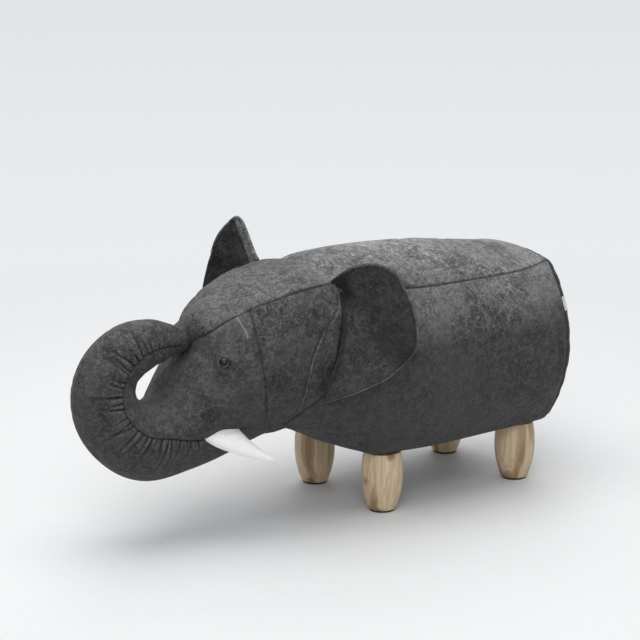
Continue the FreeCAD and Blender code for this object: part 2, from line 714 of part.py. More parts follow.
def leg_place(x_sign, y_sign):
    y = BOX_REAR + " - leg_rear_inset" if y_sign > 0 else BOX_FRONT + " + leg_front_inset"
    return "%d * (box_width / 2 - leg_side_inset)" % x_sign, "(%s)" % y


# Posts stand in the box's corners; a screw comes up into each from the base, and one down from the seat
post_places = []
for x_sign in (1, -1):
    post_x = "(%d * (box_width / 2 - board_thickness - post_width / 2))" % x_sign
    for post_y in ("(%s + board_thickness + post_width / 2)" % BOX_FRONT,
                   "(%s - board_thickness - post_width / 2)" % BOX_REAR):
        post_places.append((post_x, post_y))


def screw(name, x, y, z, way, clearance):
    """A countersunk wood screw from z, upwards or downwards."""
    room = "2 * screw_clearance" if clearance else "0"
    shank = rod(name + "_shank", "screw_diameter + " + room, "screw_length + " + room, x, y,
                z if way > 0 else "%s - screw_length - %s" % (z, room))
    rise = "(screw_head_diameter - screw_diameter) / 2"
    cone = doc.addObject("Part::Cone", name + "_head")
    wide, thin = "screw_head_diameter / 2 + (%s) / 2" % room, "screw_diameter / 2 + (%s) / 2" % room
    bind(cone, Radius1=wide if way > 0 else thin, Radius2=thin if way > 0 else wide, Height=rise)
    seat(cone, x, y, z if way > 0 else "%s - %s" % (z, rise))
    both = doc.addObject("Part::Fuse", name)
    both.Base = shank
    both.Tool = cone
    return both


screws, screw_holes = [], []
for number, (post_x, post_y) in enumerate(post_places):
    for way, level in ((1, BASE_UNDER), (-1, "(%s + board_thickness)" % SEAT_UNDER)):
        name = "screw_%d_%s" % (number, "up" if way > 0 else "down")
        screws.append(screw(name, post_x, post_y, level, way, False))
        screw_holes.append(screw(name + "_hole", post_x, post_y, level, way, True))
group("frame_screws", screws)
screw_room = group("screw_room", screw_holes)

posts = []
for number, (post_x, post_y) in enumerate(post_places):
    posts.append(board("post_%d" % number, "post_width", "post_width", WALL_HEIGHT,
                       post_x + " - post_width / 2", post_y + " - post_width / 2", BASE_TOP))
cut("corner_posts", group("post_blanks", posts), screw_room)
seat_blank = board("seat_blank", "box_width", BOX_LENGTH, "board_thickness",
                   "-box_width / 2", BOX_FRONT, SEAT_UNDER)
cut("seat_board", seat_blank, screw_room)
SIDE_LENGTH = BOX_LENGTH + " - 2 * board_thickness"
board("frame_side_left", "board_thickness", SIDE_LENGTH, WALL_HEIGHT,
      "box_width / 2 - board_thickness", BOX_FRONT + " + board_thickness", BASE_TOP)
board("frame_side_right", "board_thickness", SIDE_LENGTH, WALL_HEIGHT,
      "-box_width / 2", BOX_FRONT + " + board_thickness", BASE_TOP)
board("frame_front", "box_width", "board_thickness", WALL_HEIGHT, "-box_width / 2", BOX_FRONT, BASE_TOP)
board("frame_rear", "box_width", "board_thickness", WALL_HEIGHT,
      "-box_width / 2", BOX_REAR + " - board_thickness", BASE_TOP)


# Layers under the box: the base, the turned-in hem of the cover and the dust cover, held by staples
def rounded(name, length, width, height, x, y, z):
    """A flat plate with round corners."""
    blank = board(name + "_blank", length, width, height, x, y, z)
    doc.recompute()
    ways = [edge.tangentAt(edge.FirstParameter) for edge in blank.Shape.Edges]
    upright = [number for number, way in enumerate(ways, start=1) if abs(way.z) > abs(way.x) + abs(way.y)]
    thing = doc.addObject("Part::Fillet", name)
    thing.Base = blank
    thing.Edges = [(n, size("corner_radius"), size("corner_radius")) for n in upright]
    return thing


SIDE_STAPLE_SHARES = (0.185, 0.311, 0.437, 0.563, 0.689, 0.815)
END_STAPLE_SHARES = (-0.24, -0.08, 0.08, 0.24)
staple_places = []
for share in SIDE_STAPLE_SHARES:
    for x_sign in (1, -1):
        staple_x = "%d * (box_width / 2 - staple_inset)" % x_sign
        staple_places.append((staple_x, "(%s + %s * %s)" % (BOX_FRONT, share, BOX_LENGTH), 1))
for share in END_STAPLE_SHARES:
    for edge in (BOX_FRONT + " + staple_inset", BOX_REAR + " - staple_inset"):
        staple_places.append(("%s * box_width" % share, "(%s)" % edge, 0))


def staple_legs(name, x, y, along_y, room):
    """The two prongs of a staple, from under the dust cover up into the base."""
    prongs = []
    for number, sign in enumerate((1, -1)):
        shift = "%d * (staple_crown - staple_wire) / 2" % sign
        prong_x, prong_y = (x, y + " + " + shift) if along_y else (x + " + " + shift, y)
        across = "staple_wire + 2 * " + room
        corner = " - staple_wire / 2 - " + room
        prongs.append(board("%s_%d" % (name, number), across, across, "staple_depth + " + room,
                            prong_x + corner, prong_y + corner, DUST_UNDER))
    return prongs


staples, prong_holes = [], []
for number, (x, y, along_y) in enumerate(staple_places):
    lengths = ("staple_wire", "staple_crown") if along_y else ("staple_crown", "staple_wire")
    crown = board("staple_%d_crown" % number, lengths[0], lengths[1], "staple_wire",
                  x + " - (%s) / 2" % lengths[0], y + " - (%s) / 2" % lengths[1],
                  DUST_UNDER + " - staple_wire")
    staple = doc.addObject("Part::MultiFuse", "staple_%d" % number)
    staple.Shapes = [crown] + staple_legs("staple_%d_prong" % number, x, y, along_y, "0")
    staples.append(staple)
    prong_holes += staple_legs("staple_%d_hole" % number, x, y, along_y, "staple_clearance")
group("cover_staples", staples)
prong_room = group("prong_room", prong_holes)

bolt_holes, nut_holes, nuts = [], [], []
for name, x_sign, y_sign in LEGS:
    x, y = leg_place(x_sign, y_sign)
    bolt_holes.append(rod("bolt_hole_" + name, "bolt_diameter + 2 * bolt_clearance",
                          "base_thickness", x, y, DUST_UNDER))
    nut_holes.append(rod("nut_hole_" + name, "nut_barrel_diameter + 2 * nut_clearance",
                         "base_thickness + overrun", x, y, BASE_UNDER))
    nut_holes.append(rod("flange_hole_" + name, "nut_flange_diameter + 2 * nut_clearance",
                         "nut_flange_thickness + overrun", x, y, BASE_TOP + " - nut_flange_thickness"))
    barrel = rod("nut_barrel_" + name, "nut_barrel_diameter", "nut_length", x, y, BASE_TOP + " - nut_length")
    flange = rod("nut_flange_" + name, "nut_flange_diameter", "nut_flange_thickness", x, y,
                 BASE_TOP + " - nut_flange_thickness")
    solid = doc.addObject("Part::Fuse", "nut_solid_" + name)
    solid.Base = barrel
    solid.Tool = flange
    thread = rod("nut_thread_" + name, "bolt_diameter + 2 * thread_clearance",
                 "base_thickness + overrun", x, y, BASE_UNDER)
    nuts.append(cut("nut_" + name, solid, thread))
group("leg_nuts", nuts)
base_blank = board("base_blank", "box_width", BOX_LENGTH, "base_thickness",
                   "-box_width / 2", BOX_FRONT, BASE_UNDER)
cut("base_panel", base_blank, group("base_room", nut_holes + [screw_room, prong_room]))

hem_outer = rounded("hem_outer", "box_width + 2 * hem_overhang", BOX_LENGTH + " + hem_overhang",
                    "hem_thickness", "-box_width / 2 - hem_overhang", BOX_FRONT, HEM_UNDER)
hem_inner = board("hem_inner", "box_width + 2 * hem_overhang - 2 * hem_width",
                  BOX_LENGTH + " + hem_overhang - 2 * hem_width", "hem_thickness",
                  "-box_width / 2 - hem_overhang + hem_width", BOX_FRONT + " + hem_width", HEM_UNDER)
cut("hem_strip", hem_outer, group("hem_room", [hem_inner, prong_room] + bolt_holes))
dust_blank = rounded("dust_blank", "box_width - 2 * dust_inset", BOX_LENGTH + " - 2 * dust_inset",
                     "dust_thickness", "-box_width / 2 + dust_inset", BOX_FRONT + " + dust_inset", DUST_UNDER)
cut("dust_cover", dust_blank, group("dust_room", [prong_room] + bolt_holes))


# Legs, each with its hanger bolt, washer and foot pad
def turned(label, profile, x, y, z):
    """A body turned about its upright axis. Each corner: radius, height, and the next arc's radius."""
    thing = doc.addObject("PartDesign::Body", label)
    thing.Label = label
    sketch = thing.newObject("Sketcher::SketchObject", label + "_profile")
    plane = next(f for f in thing.Origin.OriginFeatures if f.Role == "XZ_Plane")
    sketch.AttachmentSupport = [(plane, "")]
    sketch.MapMode = "FlatFace"
    values = [[float(sheet.evalExpression(formula(t))) if t else 0.0 for t in row] for row in profile]
    count = len(profile)
    for number, (radius, height, bulge) in enumerate(values):
        first, last = V(radius, height, 0), V(*values[(number + 1) % count][:2], 0)
        if profile[number][2]:
            chord = last - first
            sag = bulge - math.sqrt(bulge ** 2 - chord.Length ** 2 / 4)
            middle = (first + last) / 2 + V(chord.y, -chord.x, 0).normalize() * sag
            sketch.addGeometry(Part.Arc(first, middle, last))
        else:
            sketch.addGeometry(Part.LineSegment(first, last))
    for number in range(count):
        sketch.addConstraint(Sketcher.Constraint("Coincident", number, 2, (number + 1) % count, 1))
    for number, texts in enumerate(profile):
        for kind, axis, text, value in (("DistanceX", -2, texts[0], values[number][0]),
                                        ("DistanceY", -1, texts[1], values[number][1])):
            if text == "0":
                sketch.addConstraint(Sketcher.Constraint("PointOnObject", number, 1, axis))
            else:
                place = sketch.addConstraint(Sketcher.Constraint(kind, -1, 1, number, 1, value))
                sketch.setExpression("Constraints[%d]" % place, formula(text))
        if texts[2]:
            place = sketch.addConstraint(Sketcher.Constraint("Radius", number, values[number][2]))
            sketch.setExpression("Constraints[%d]" % place, formula(texts[2]))
    turn = thing.newObject("PartDesign::Revolution", label + "_turn")
    turn.Profile = sketch
    turn.ReferenceAxis = (sketch, ["V_Axis"])
    turn.Angle = 360
    thing.Tip = turn
    seat(thing, x, y, z)
    return thing


def bulge(wide, thin, rise):
    """The radius of an arc that swells from one diameter to another and stands upright at the wider one."""
    step = "((%s - %s) / 2)" % (wide, thin)
    return "(%s ^ 2 + %s ^ 2) / (2 * %s)" % (rise, step, step)


LOWER_BULGE = bulge("leg_belly_diameter", "leg_foot_diameter", "leg_belly_height")
UPPER_BULGE = bulge("leg_belly_diameter", "leg_top_diameter", "(leg_length - leg_belly_height)")
HOLE = "bolt_diameter / 2 + thread_clearance"
HOLE_FOOT = "leg_length - bolt_wood_length - thread_clearance"
LEG_PROFILE = [
    ("0", "0", None),
    ("leg_foot_diameter / 2", "0", LOWER_BULGE),
    ("leg_belly_diameter / 2", "leg_belly_height", UPPER_BULGE),
    ("leg_top_diameter / 2", "leg_length", None),
    (HOLE, "leg_length", None),
    (HOLE, HOLE_FOOT, None),
    ("0", HOLE_FOOT, None),
]
BOLT_LENGTH = ("bolt_wood_length + washer_thickness + dust_thickness + hem_thickness"
               " + base_thickness - bolt_end_cover")
BOLT_PROFILE = [
    ("0", "0", None),
    ("bolt_diameter / 4", "0", None),
    ("bolt_diameter / 2", "bolt_diameter / 2", None),
    ("bolt_diameter / 2", BOLT_LENGTH + " - bolt_diameter / 8", None),
    ("bolt_diameter * 3 / 8", BOLT_LENGTH, None),
    ("0", BOLT_LENGTH, None),
]
for name, x_sign, y_sign in LEGS:
    x, y = leg_place(x_sign, y_sign)
    rod("leg_pad_" + name, "pad_diameter", "pad_thickness", x, y, "0")
    turned("leg_" + name, LEG_PROFILE, x, y, "pad_thickness")
    turned("hanger_bolt_" + name, BOLT_PROFILE, x, y, LEG_TOP + " - bolt_wood_length")
    ring = rod("ring_" + name, "washer_diameter", "washer_thickness", x, y, LEG_TOP)
    hole = rod("ring_hole_" + name, "bolt_diameter + 2 * bolt_clearance", "washer_thickness", x, y, LEG_TOP)
    cut("leg_washer_" + name, ring, hole)

doc.recompute()

# Every piece that is handed on, by its label
NODES = ["seat_foam", "side_foam_left", "side_foam_right", "rear_foam", "chest_foam", "head_filling",
         "trunk_filling", "cover_top", "trunk_inner_strip", "cover_chin", "cover_rear", "eye_left",
         "eye_right", "eye_washers", "tusk_left", "tusk_right", "side_label", "frame_screws",
         "corner_posts", "seat_board", "frame_side_left", "frame_side_right", "frame_front", "frame_rear",
         "cover_staples", "leg_nuts", "base_panel", "hem_strip", "dust_cover"]
PAIRED = ("cover_side_", "cover_neck_", "cover_cheek_", "cover_face_", "ear_front_", "ear_back_")
NODES += [part + side for part in PAIRED for side in ("left", "right")]
NODES += [part + leg[0] for part in ("leg_", "leg_pad_", "hanger_bolt_", "leg_washer_") for leg in LEGS]

for thing in doc.Objects:
    if "Invalid" in thing.State or "Error" in thing.State:
        raise RuntimeError("%s did not build" % thing.Label)
by_label = {thing.Label: thing for thing in doc.Objects}
for node in NODES:
    shape = by_label[node].Shape
    if shape.isNull() or not shape.isValid() or not shape.Solids:
        raise RuntimeError("%s has no valid solid" % node)

os.makedirs("parts", exist_ok=True)
for node in NODES:
    by_label[node].Shape.exportStep("parts/%s.step" % node)
print("wrote %d pieces" % len(NODES))
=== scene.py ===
import math
from collections import namedtuple

import bpy
import numpy as np
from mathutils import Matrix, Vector


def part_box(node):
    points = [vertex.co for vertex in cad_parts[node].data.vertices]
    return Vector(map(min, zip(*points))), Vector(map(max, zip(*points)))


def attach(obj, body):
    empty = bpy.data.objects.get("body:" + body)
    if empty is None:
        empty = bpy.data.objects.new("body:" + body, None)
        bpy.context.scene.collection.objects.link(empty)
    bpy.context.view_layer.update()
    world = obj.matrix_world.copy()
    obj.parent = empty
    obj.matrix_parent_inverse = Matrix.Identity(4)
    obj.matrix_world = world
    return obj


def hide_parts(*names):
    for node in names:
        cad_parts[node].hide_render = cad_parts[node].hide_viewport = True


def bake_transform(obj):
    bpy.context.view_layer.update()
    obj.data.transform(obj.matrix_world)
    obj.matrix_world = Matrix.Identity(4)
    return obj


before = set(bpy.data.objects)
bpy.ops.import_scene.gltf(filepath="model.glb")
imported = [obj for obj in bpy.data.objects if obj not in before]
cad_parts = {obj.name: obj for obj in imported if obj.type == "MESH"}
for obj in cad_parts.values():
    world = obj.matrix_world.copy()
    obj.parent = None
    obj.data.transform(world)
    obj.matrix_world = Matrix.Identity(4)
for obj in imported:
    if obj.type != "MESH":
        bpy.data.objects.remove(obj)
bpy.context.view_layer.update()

bl_info = {
    "name": "Elephant footstool",
    "version": (1, 0, 0),
    "blender": (4, 5, 0),
    "location": "View3D > Sidebar > Footstool",
    "description": "Upholstery, ears, tusks and finishes of an elephant footstool around its CAD frame",
    "category": "Object",
}

MM = 0.001
SIDES = ("left", "right")
LEGS = ("front_left", "front_right", "rear_left", "rear_right")
MIRROR = (-1, 1, 1)

# ---- sections of the body, head and trunk
# sizes in mm, as in the CAD model; places along are from the legs' middle, y of which is LEGS_MIDDLE
LEGS_MIDDLE = 188.8
BODY_LENGTH, BODY_HALF_WIDTH, BODY_HEIGHT, BODY_CENTRE_SHARE = 379.0, 140.0, 262.0, .466
REAR, NECK, SPINE_HEIGHT = 164.865, -214.135, 210.092
HEAD_LENGTH, HEAD_DROP, HEAD_HALF_WIDTH, HEAD_HALF_HEIGHT = 190, 57, 108.0, 125.0
TRUNK_RADIUS, TRUNK_REACH, TRUNK_RISE = 55, 106, 117
REAR_SWELL, REAR_CLOSING_SHARE = 12, .985
# along, tilt, seam width and height, crown, widest width and height, low width and height, under
BODY_SHARES = (
    (0.000, -3, .586, .851, .893, .950, .485, .730, .014, .002),
    (0.145, 0, .643, .828, .933, .993, .473, .750, .008, .000),
    (0.435, 0, .657, .828, .992, 1.000, .466, .764, .002, -.004),
    (0.633, 0, .650, .834, 1.013, .993, .469, .757, .004, -.002),
    (0.792, 0, .629, .859, 1.015, .936, .481, .707, .027, .008),
    (0.910, 0, .611, .897, 1.005, .850, .504, .621, .062, .029),
    (1.000, -4, .600, .924, .978, .771, .534, .543, .148, .108),
)
# along, drop, tilt, then as above, from the head's middle height
HEAD_SHARES = (
    (.137, -.210, -12, .750, .871, .990, .935, .064, .611, -.690, -.740),
    (.326, -.070, 2, .676, .848, .955, .907, .048, .556, -.565, -.710),
    (.484, .088, 13, .583, .832, .910, .861, .016, .537, -.470, -.672),
    (.663, .316, 22, .454, .808, .896, .796, .000, .556, -.368, -.650),
    (.832, .667, 20, .167, .677, .696, .704, .032, .574, -.176, -.582),
    (1.0, 1.0, 6, .111, .590, .600, .593, .128, .537, -.064, -.490),
)
# reach, rise, tilt, radius
TRUNK_SHARES = (
    (.358, -.094, -14, 1.0), (.708, 0, -42, .85), (.960, .239, -68, .765),
    (1.028, .521, -95, .71), (.906, .790, -126, .655), (.642, .966, -158, .58),
    (.340, 1.009, -181, .482), (.113, .979, -192, .382), (-.047, .949, -200, .318),
)
ROUND_SHARES = (.25, .97, 1.0, .80, .60, .98, .18, -1.05)
# middle of the lower arcs: share of the low width, share of the height from under to low
LOWER_BEND_SHARES = (.72, .29)
# the rear panel's dome: share of its outline, share of its swelling
DOME_SHARES = ((.0, 1.01), (.26, 1.0), (.58, .88), (.86, .52), (1.0, 0.0))
# rows of the skin, counted along the spine; a place between them is a fraction
REAR_SEAM, CHEST, EAR_SEAM, NECK_SEAM, DART_SEAM, EYE_ROW, TRUNK_ROOT, TIP = 0, 4, 6, 7, 9, 10, 12, 21
# seams across the sides: share of the way down the side, place along the spine
EAR_LINE_SHARES = ((0, 6.0), (.06, 5.80), (.185, 5.86), (.37, 6.14), (.50, 6.30), (.735, 6.52), (.82, 6.95),
                   (.90, 7.50), (1, 8.0))
NECK_LINE_SHARES = ((0, 5.95), (.13, 6.12), (.29, 7.19), (.46, 7.50), (.60, 7.58), (.74, 7.56), (.87, 7.66),
                    (.92, 7.95), (1, 8.2))
DART_LINE_SHARES = ((0, 8.98), (.16, 9.12), (.33, 9.27), (.47, 9.36), (.70, 9.50), (.905, 9.46), (1, 9.42))
SCRATCH_LINE_SHARES = ((0, 9.34), (.13, 9.34), (.20, 9.37), (1, 9.37))


def rise(value, start, span):
    """Nought up to the start, then straight up to one at the end of the span."""
    return np.clip((value - start) / span, 0, 1)


def fall(value, end, span):
    """One until a span before the end, then straight down to nought."""
    return np.clip((end - value) / span, 0, 1)


def bell(value, width):
    """One at nought, softly down to nothing on both sides."""
    return np.exp(-(value / width) ** 2)


def eased(share):
    return share * share * (3 - 2 * share)


def norm(vectors):
    return np.linalg.norm(vectors, axis=-1)


def unit(vectors, least=1e-9):
    return vectors / np.maximum(norm(vectors)[..., None], least)


def look_up(table, value):
    """Straight interpolation in a table of pairs."""
    return np.interp(value, *zip(*table))


def body_rows():
    """All rows of the skin: y, z, tilt and the eight section numbers, in mm from the legs' middle."""
    rows = []
    for along, tilt, *numbers in BODY_SHARES:
        low = [(share - BODY_CENTRE_SHARE) * BODY_HEIGHT for share in numbers]
        wide = [share * BODY_HALF_WIDTH for share in numbers]
        section = [wide[0], low[1], low[2], wide[3], low[4], wide[5], low[6], low[7]]
        rows.append([REAR - along * BODY_LENGTH, SPINE_HEIGHT, math.radians(tilt), *section])
    wide, tall = HEAD_HALF_WIDTH, HEAD_HALF_HEIGHT
    for along, drop, tilt, *numbers in HEAD_SHARES:
        scale = (wide, tall, tall, wide, tall, wide, tall, tall)
        section = [share * size for share, size in zip(numbers, scale)]
        rows.append([NECK - along * HEAD_LENGTH, SPINE_HEIGHT - drop * HEAD_DROP,
                     math.radians(tilt), *section])
    for reach, up, tilt, radius in TRUNK_SHARES:
        section = [share * radius * TRUNK_RADIUS for share in ROUND_SHARES]
        rows.append([NECK - HEAD_LENGTH - reach * TRUNK_REACH, SPINE_HEIGHT - HEAD_DROP + up * TRUNK_RISE,
                     math.radians(tilt), *section])
    return np.array(rows)


def rows_at(rows, place):
    """Rows at fractional places along the spine, smooth through the given ones."""
    place = np.asarray(place, float)
    first = np.clip(np.floor(place).astype(int), 0, len(rows) - 2)
    share = (place - first)[:, None]
    a, b, c, d = (rows[np.clip(first + k, 0, len(rows) - 1)] for k in (-1, 0, 1, 2))
    gaps = [np.hypot(*(q - p)[:, :2].T) for p, q in ((a, b), (b, c), (c, d))]
    leave = (c - a) * (gaps[1] / (gaps[0] + gaps[1]))[:, None]
    arrive = (d - b) * (gaps[1] / (gaps[1] + gaps[2]))[:, None]
    bend = b - c
    square, cube = -3 * bend - 2 * leave - arrive, 2 * bend + leave + arrive
    return b + share * (leave + share * (square + share * cube))


def circle(first, middle, last):
    """Centres and radii of the circles through three places each."""
    (ax, ay), (bx, by), (cx, cy) = first.T, middle.T, last.T
    twice = 2 * (ax * (by - cy) + bx * (cy - ay) + cx * (ay - by))
    sa, sb, sc = ax**2 + ay**2, bx**2 + by**2, cx**2 + cy**2
    x = (sa * (by - cy) + sb * (cy - ay) + sc * (ay - by)) / twice
    y = (sa * (cx - bx) + sb * (ax - cx) + sc * (bx - ax)) / twice
    return x, y, np.hypot(ax - x, ay - y)


def arc(first, middle, last, shares):
    """Points at the given shares along the arcs through three places each."""
    x, y, radius = (values[:, None] for values in circle(first, middle, last))
    start, half, whole = (np.arctan2(p[:, 1:] - y, p[:, :1] - x) for p in (first, middle, last))
    half = (half - start + math.pi) % math.tau - math.pi
    whole = (whole - start) % math.tau
    angle = start + np.where(half < 0, whole - math.tau, whole) * shares[None, :]
    return np.stack([x + radius * np.cos(angle), y + radius * np.sin(angle)], axis=-1)


# points on the top panel, a side panel and half of the lower panel, and how far they crowd towards the seams
FINE_COUNTS, FINE_CLOSENESS = (60, 84, 42), .6
COARSE_COUNTS, COARSE_CLOSENESS = (18, 24, 11), .2
# the strips of a ring: top, left side, both lower halves, right side, as places in the counts
STRIPS = (0, 1, 2, 2, 1)


def gathered(count, closeness):
    """Shares from 0 up to 1, closer together at both ends."""
    share = np.arange(count) / count
    return share - closeness * np.sin(math.tau * share) / math.tau


def columns(counts):
    """Column numbers of the left top seam, left low seam and right low seam; the right top seam is at 0."""
    top, side, lower = counts
    return top, top + side, top + side + 2 * lower


LEFT, LOW_LEFT, LOW_RIGHT = columns(FINE_COUNTS)


def rings(rows, places, counts=FINE_COUNTS, closeness=FINE_CLOSENESS):
    """Points of closed rings: top panel from right to left, left side, lower half, up the right side."""
    found = rows_at(rows, np.clip(places, 0, None))
    y, z, tilt = found[:, :3].T
    seam, wide, low = found[:, 3:5], found[:, 6:8], found[:, 8:10]
    crown, under = (np.stack([0 * y, found[:, k]], 1) for k in (5, 10))
    across, up = LOWER_BEND_SHARES
    halfway = np.stack([across * low[:, 0], under[:, 1] + up * (low[:, 1] - under[:, 1])], 1)
    mirror = np.array(MIRROR[:2])
    top, side, lower = (gathered(count, closeness) for count in counts)
    flat = np.concatenate([
        arc(seam * mirror, crown, seam, top),
        arc(seam, wide, low, side),
        arc(low, halfway, under, lower),
        arc(low, halfway, under, 1 - lower) * mirror,
        arc(seam, wide, low, 1 - side) * mirror,
    ], axis=1)
    # the rear panel is the last ring drawn together into a shallow dome
    share = 1 - REAR_CLOSING_SHARE * np.clip(-places, 0, 1)
    swell = look_up(DOME_SHARES, share)
    middle = (.5 * (crown[:, 1] + under[:, 1]))[:, None]
    height = middle + (flat[..., 1] - middle) * share[:, None]
    return np.stack([
        flat[..., 0] * share[:, None],
        (y + REAR_SWELL * swell)[:, None] - height * np.sin(tilt)[:, None] + LEGS_MIDDLE,
        z[:, None] + height * np.cos(tilt)[:, None],
    ], axis=-1)


def grid_normals(points):
    """Unit normals of a grid of points, closed rings along the first axis and columns along the second."""
    around = np.roll(points, -1, 1) - np.roll(points, 1, 1)
    return unit(np.cross(np.gradient(points, axis=0), around))


def spline(table, shares):
    """A closed smooth curve through the places of a table."""
    table = np.array(table, float)
    count = len(table)
    place = np.asarray(shares) % 1 * count
    first = np.floor(place).astype(int)
    f = (place - first)[:, None]
    a, b, c, d = (table[(first + k) % count] for k in (-1, 0, 1, 2))
    return b + .5 * f * (c - a + f * (2 * a - 5 * b + 4 * c - d + f * (3 * (b - c) + d - a)))


def smooth_noise(places, seed, waves=9):
    """A sum of sine waves that gives soft, repeatable waviness in space, about -1 to 1."""
    source = np.random.default_rng(seed)
    total = 0
    for _ in range(waves):
        way = source.normal(size=3)
        total = total + np.sin(places @ way + source.uniform(0, math.tau))
    return total / (waves / 2)


# ---- meshes
def mesh_object(name, points, faces, attributes=None):
    """A smooth mesh object from points in mm."""
    mesh = bpy.data.meshes.new(name)
    mesh.from_pydata([tuple(p) for p in np.asarray(points) * MM], [], faces)
    mesh.validate()
    mesh.update()
    for key, values in (attributes or {}).items():
        layer = mesh.attributes.new(key, "FLOAT", "POINT")
        layer.data.foreach_set("value", np.asarray(values, np.float32).ravel())
    mesh.shade_smooth()
    thing = bpy.data.objects.new(name, mesh)
    bpy.context.scene.collection.objects.link(thing)
    return thing


def grid_faces(rows, columns, closed=True):
    """Quads of a grid of points, as an array."""
    i, j = np.meshgrid(np.arange(rows - 1), np.arange(columns if closed else columns - 1), indexing="ij")
    i, j = i.ravel(), j.ravel()
    k = (j + 1) % columns
    return np.stack([i * columns + j, (i + 1) * columns + j, (i + 1) * columns + k, i * columns + k], 1)


def band(first, second, around):
    """Quads between two rings, each given by its first point's number."""
    after = np.roll(np.arange(around), -1)
    here = np.arange(around)
    return np.stack([first + here, second + here, second + after, first + after], 1).tolist()


def fan(ring, hub, around, turned=False):
    """Triangles from a ring to a hub, facing the other way if turned."""
    pairs = ((ring + j, ring + (j + 1) % around) for j in range(around))
    return [[b, a, hub] if turned else [a, b, hub] for a, b in pairs]


def give(thing, material):
    thing.data.materials.clear()
    thing.data.materials.append(material)


def dress(material, *nodes):
    """Puts a finish on the objects of CAD nodes."""
    for node in nodes:
        thing = bpy.data.objects.get(node)
        if thing is None or thing.type != "MESH":
            raise RuntimeError("no CAD node named " + node)
        if not thing.material_slots:
            thing.data.materials.append(material)
        for slot in thing.material_slots:
            slot.material = material


def eye_centre(side):
    return sum(np.array(corner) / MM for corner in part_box("eye_" + side)) / 2


# ---- shader nodes
BLACK, WHITE = (0, 0, 0), (1, 1, 1)


class Value:
    """A shader value that can be calculated with like a number."""

    def __init__(self, socket):
        self.socket, self.tree = socket, socket.id_data

    def __add__(self, other):
        return maths("ADD", self, other)

    def __mul__(self, other):
        return maths("MULTIPLY", self, other)

    def __sub__(self, other):
        return maths("SUBTRACT", self, other)

    def __rsub__(self, other):
        return maths("SUBTRACT", other, self)

    __radd__, __rmul__ = __add__, __mul__


def feed(tree, socket, value):
    """Links a socket to a shader value or another socket, or sets it; colours are opaque."""
    if isinstance(value, Value):
        value = value.socket
    if isinstance(value, bpy.types.NodeSocket):
        tree.links.new(value, socket)
    else:
        socket.default_value = (*value, 1) if socket.type == "RGBA" else value


def add(tree, kind, inputs=None, **settings):
    """A new node with its settings and inputs."""
    made = tree.nodes.new(kind)
    for key, value in settings.items():
        setattr(made, key, value)
    for key, value in (inputs or {}).items():
        feed(tree, made.inputs[key], value)
    return made


def value_of(tree, kind, inputs=None, output=0, **settings):
    """What a new node gives."""
    return Value(add(tree, kind, inputs, **settings).outputs[output])


def maths(operation, *values):
    tree = next(value.tree for value in values if isinstance(value, Value))
    return value_of(tree, "ShaderNodeMath", dict(enumerate(values)), operation=operation)


def vector_maths(operation, *values):
    output = "Value" if operation in ("LENGTH", "DISTANCE") else "Vector"
    inputs = dict(enumerate(values))
    return value_of(values[0].tree, "ShaderNodeVectorMath", inputs, output, operation=operation)


def ramp(value, stops):
    """Colours at given values, blended between."""
    made = add(value.tree, "ShaderNodeValToRGB", {0: value})
    while len(made.color_ramp.elements) < len(stops):
        made.color_ramp.elements.new(.5)
    for element, (place, colour) in zip(made.color_ramp.elements, stops):
        element.position = place
        element.color = (*colour, 1)
    return Value(made.outputs[0])


def stepped(value, start, end):
    """Black up to one value, white from another one on."""
    return ramp(value, [(start, BLACK), (end, WHITE)])


def mix(share, first, second):
    return value_of(share.tree, "ShaderNodeMix", {0: share, 6: first, 7: second}, 2, data_type="RGBA")


def map_range(value, start, end, low=0.0, **settings):
    inputs = {"Value": value, "From Min": start, "From Max": end, "To Min": low}
    return value_of(value.tree, "ShaderNodeMapRange", inputs, **settings)


def noise(place, scale, detail, roughness=.5, distortion=0.0):
    inputs = {"Vector": place, "Scale": scale, "Detail": detail, "Roughness": roughness,
              "Distortion": distortion}
    return value_of(place.tree, "ShaderNodeTexNoise", inputs, "Fac")


def cells(place, scale, **settings):
    inputs = {"Vector": place, "Scale": scale, "Randomness": 1.0}
    return value_of(place.tree, "ShaderNodeTexVoronoi", inputs, "Distance", **settings)


def object_place(tree):
    return value_of(tree, "ShaderNodeTexCoord", output="Object")


def height_of(place):
    return value_of(place.tree, "ShaderNodeSeparateXYZ", {0: place}, "Z")


def mix_shaders(tree, share, first, second, output):
    """Blends two shaders into the tree's output."""
    both = add(tree, "ShaderNodeMixShader", {0: share, 1: first.outputs[0], 2: second.outputs[0]})
    tree.links.new(both.outputs[0], tree.nodes[output].inputs["Surface"])


def seen_directly(tree):
    """One for rays that show the background itself, nought for those that light the object."""
    path = add(tree, "ShaderNodeLightPath").outputs
    camera, glossy, through = (Value(path[f"Is {kind} Ray"]) for kind in ("Camera", "Glossy", "Transmission"))
    return maths("MAXIMUM", maths("MAXIMUM", camera, glossy), through)


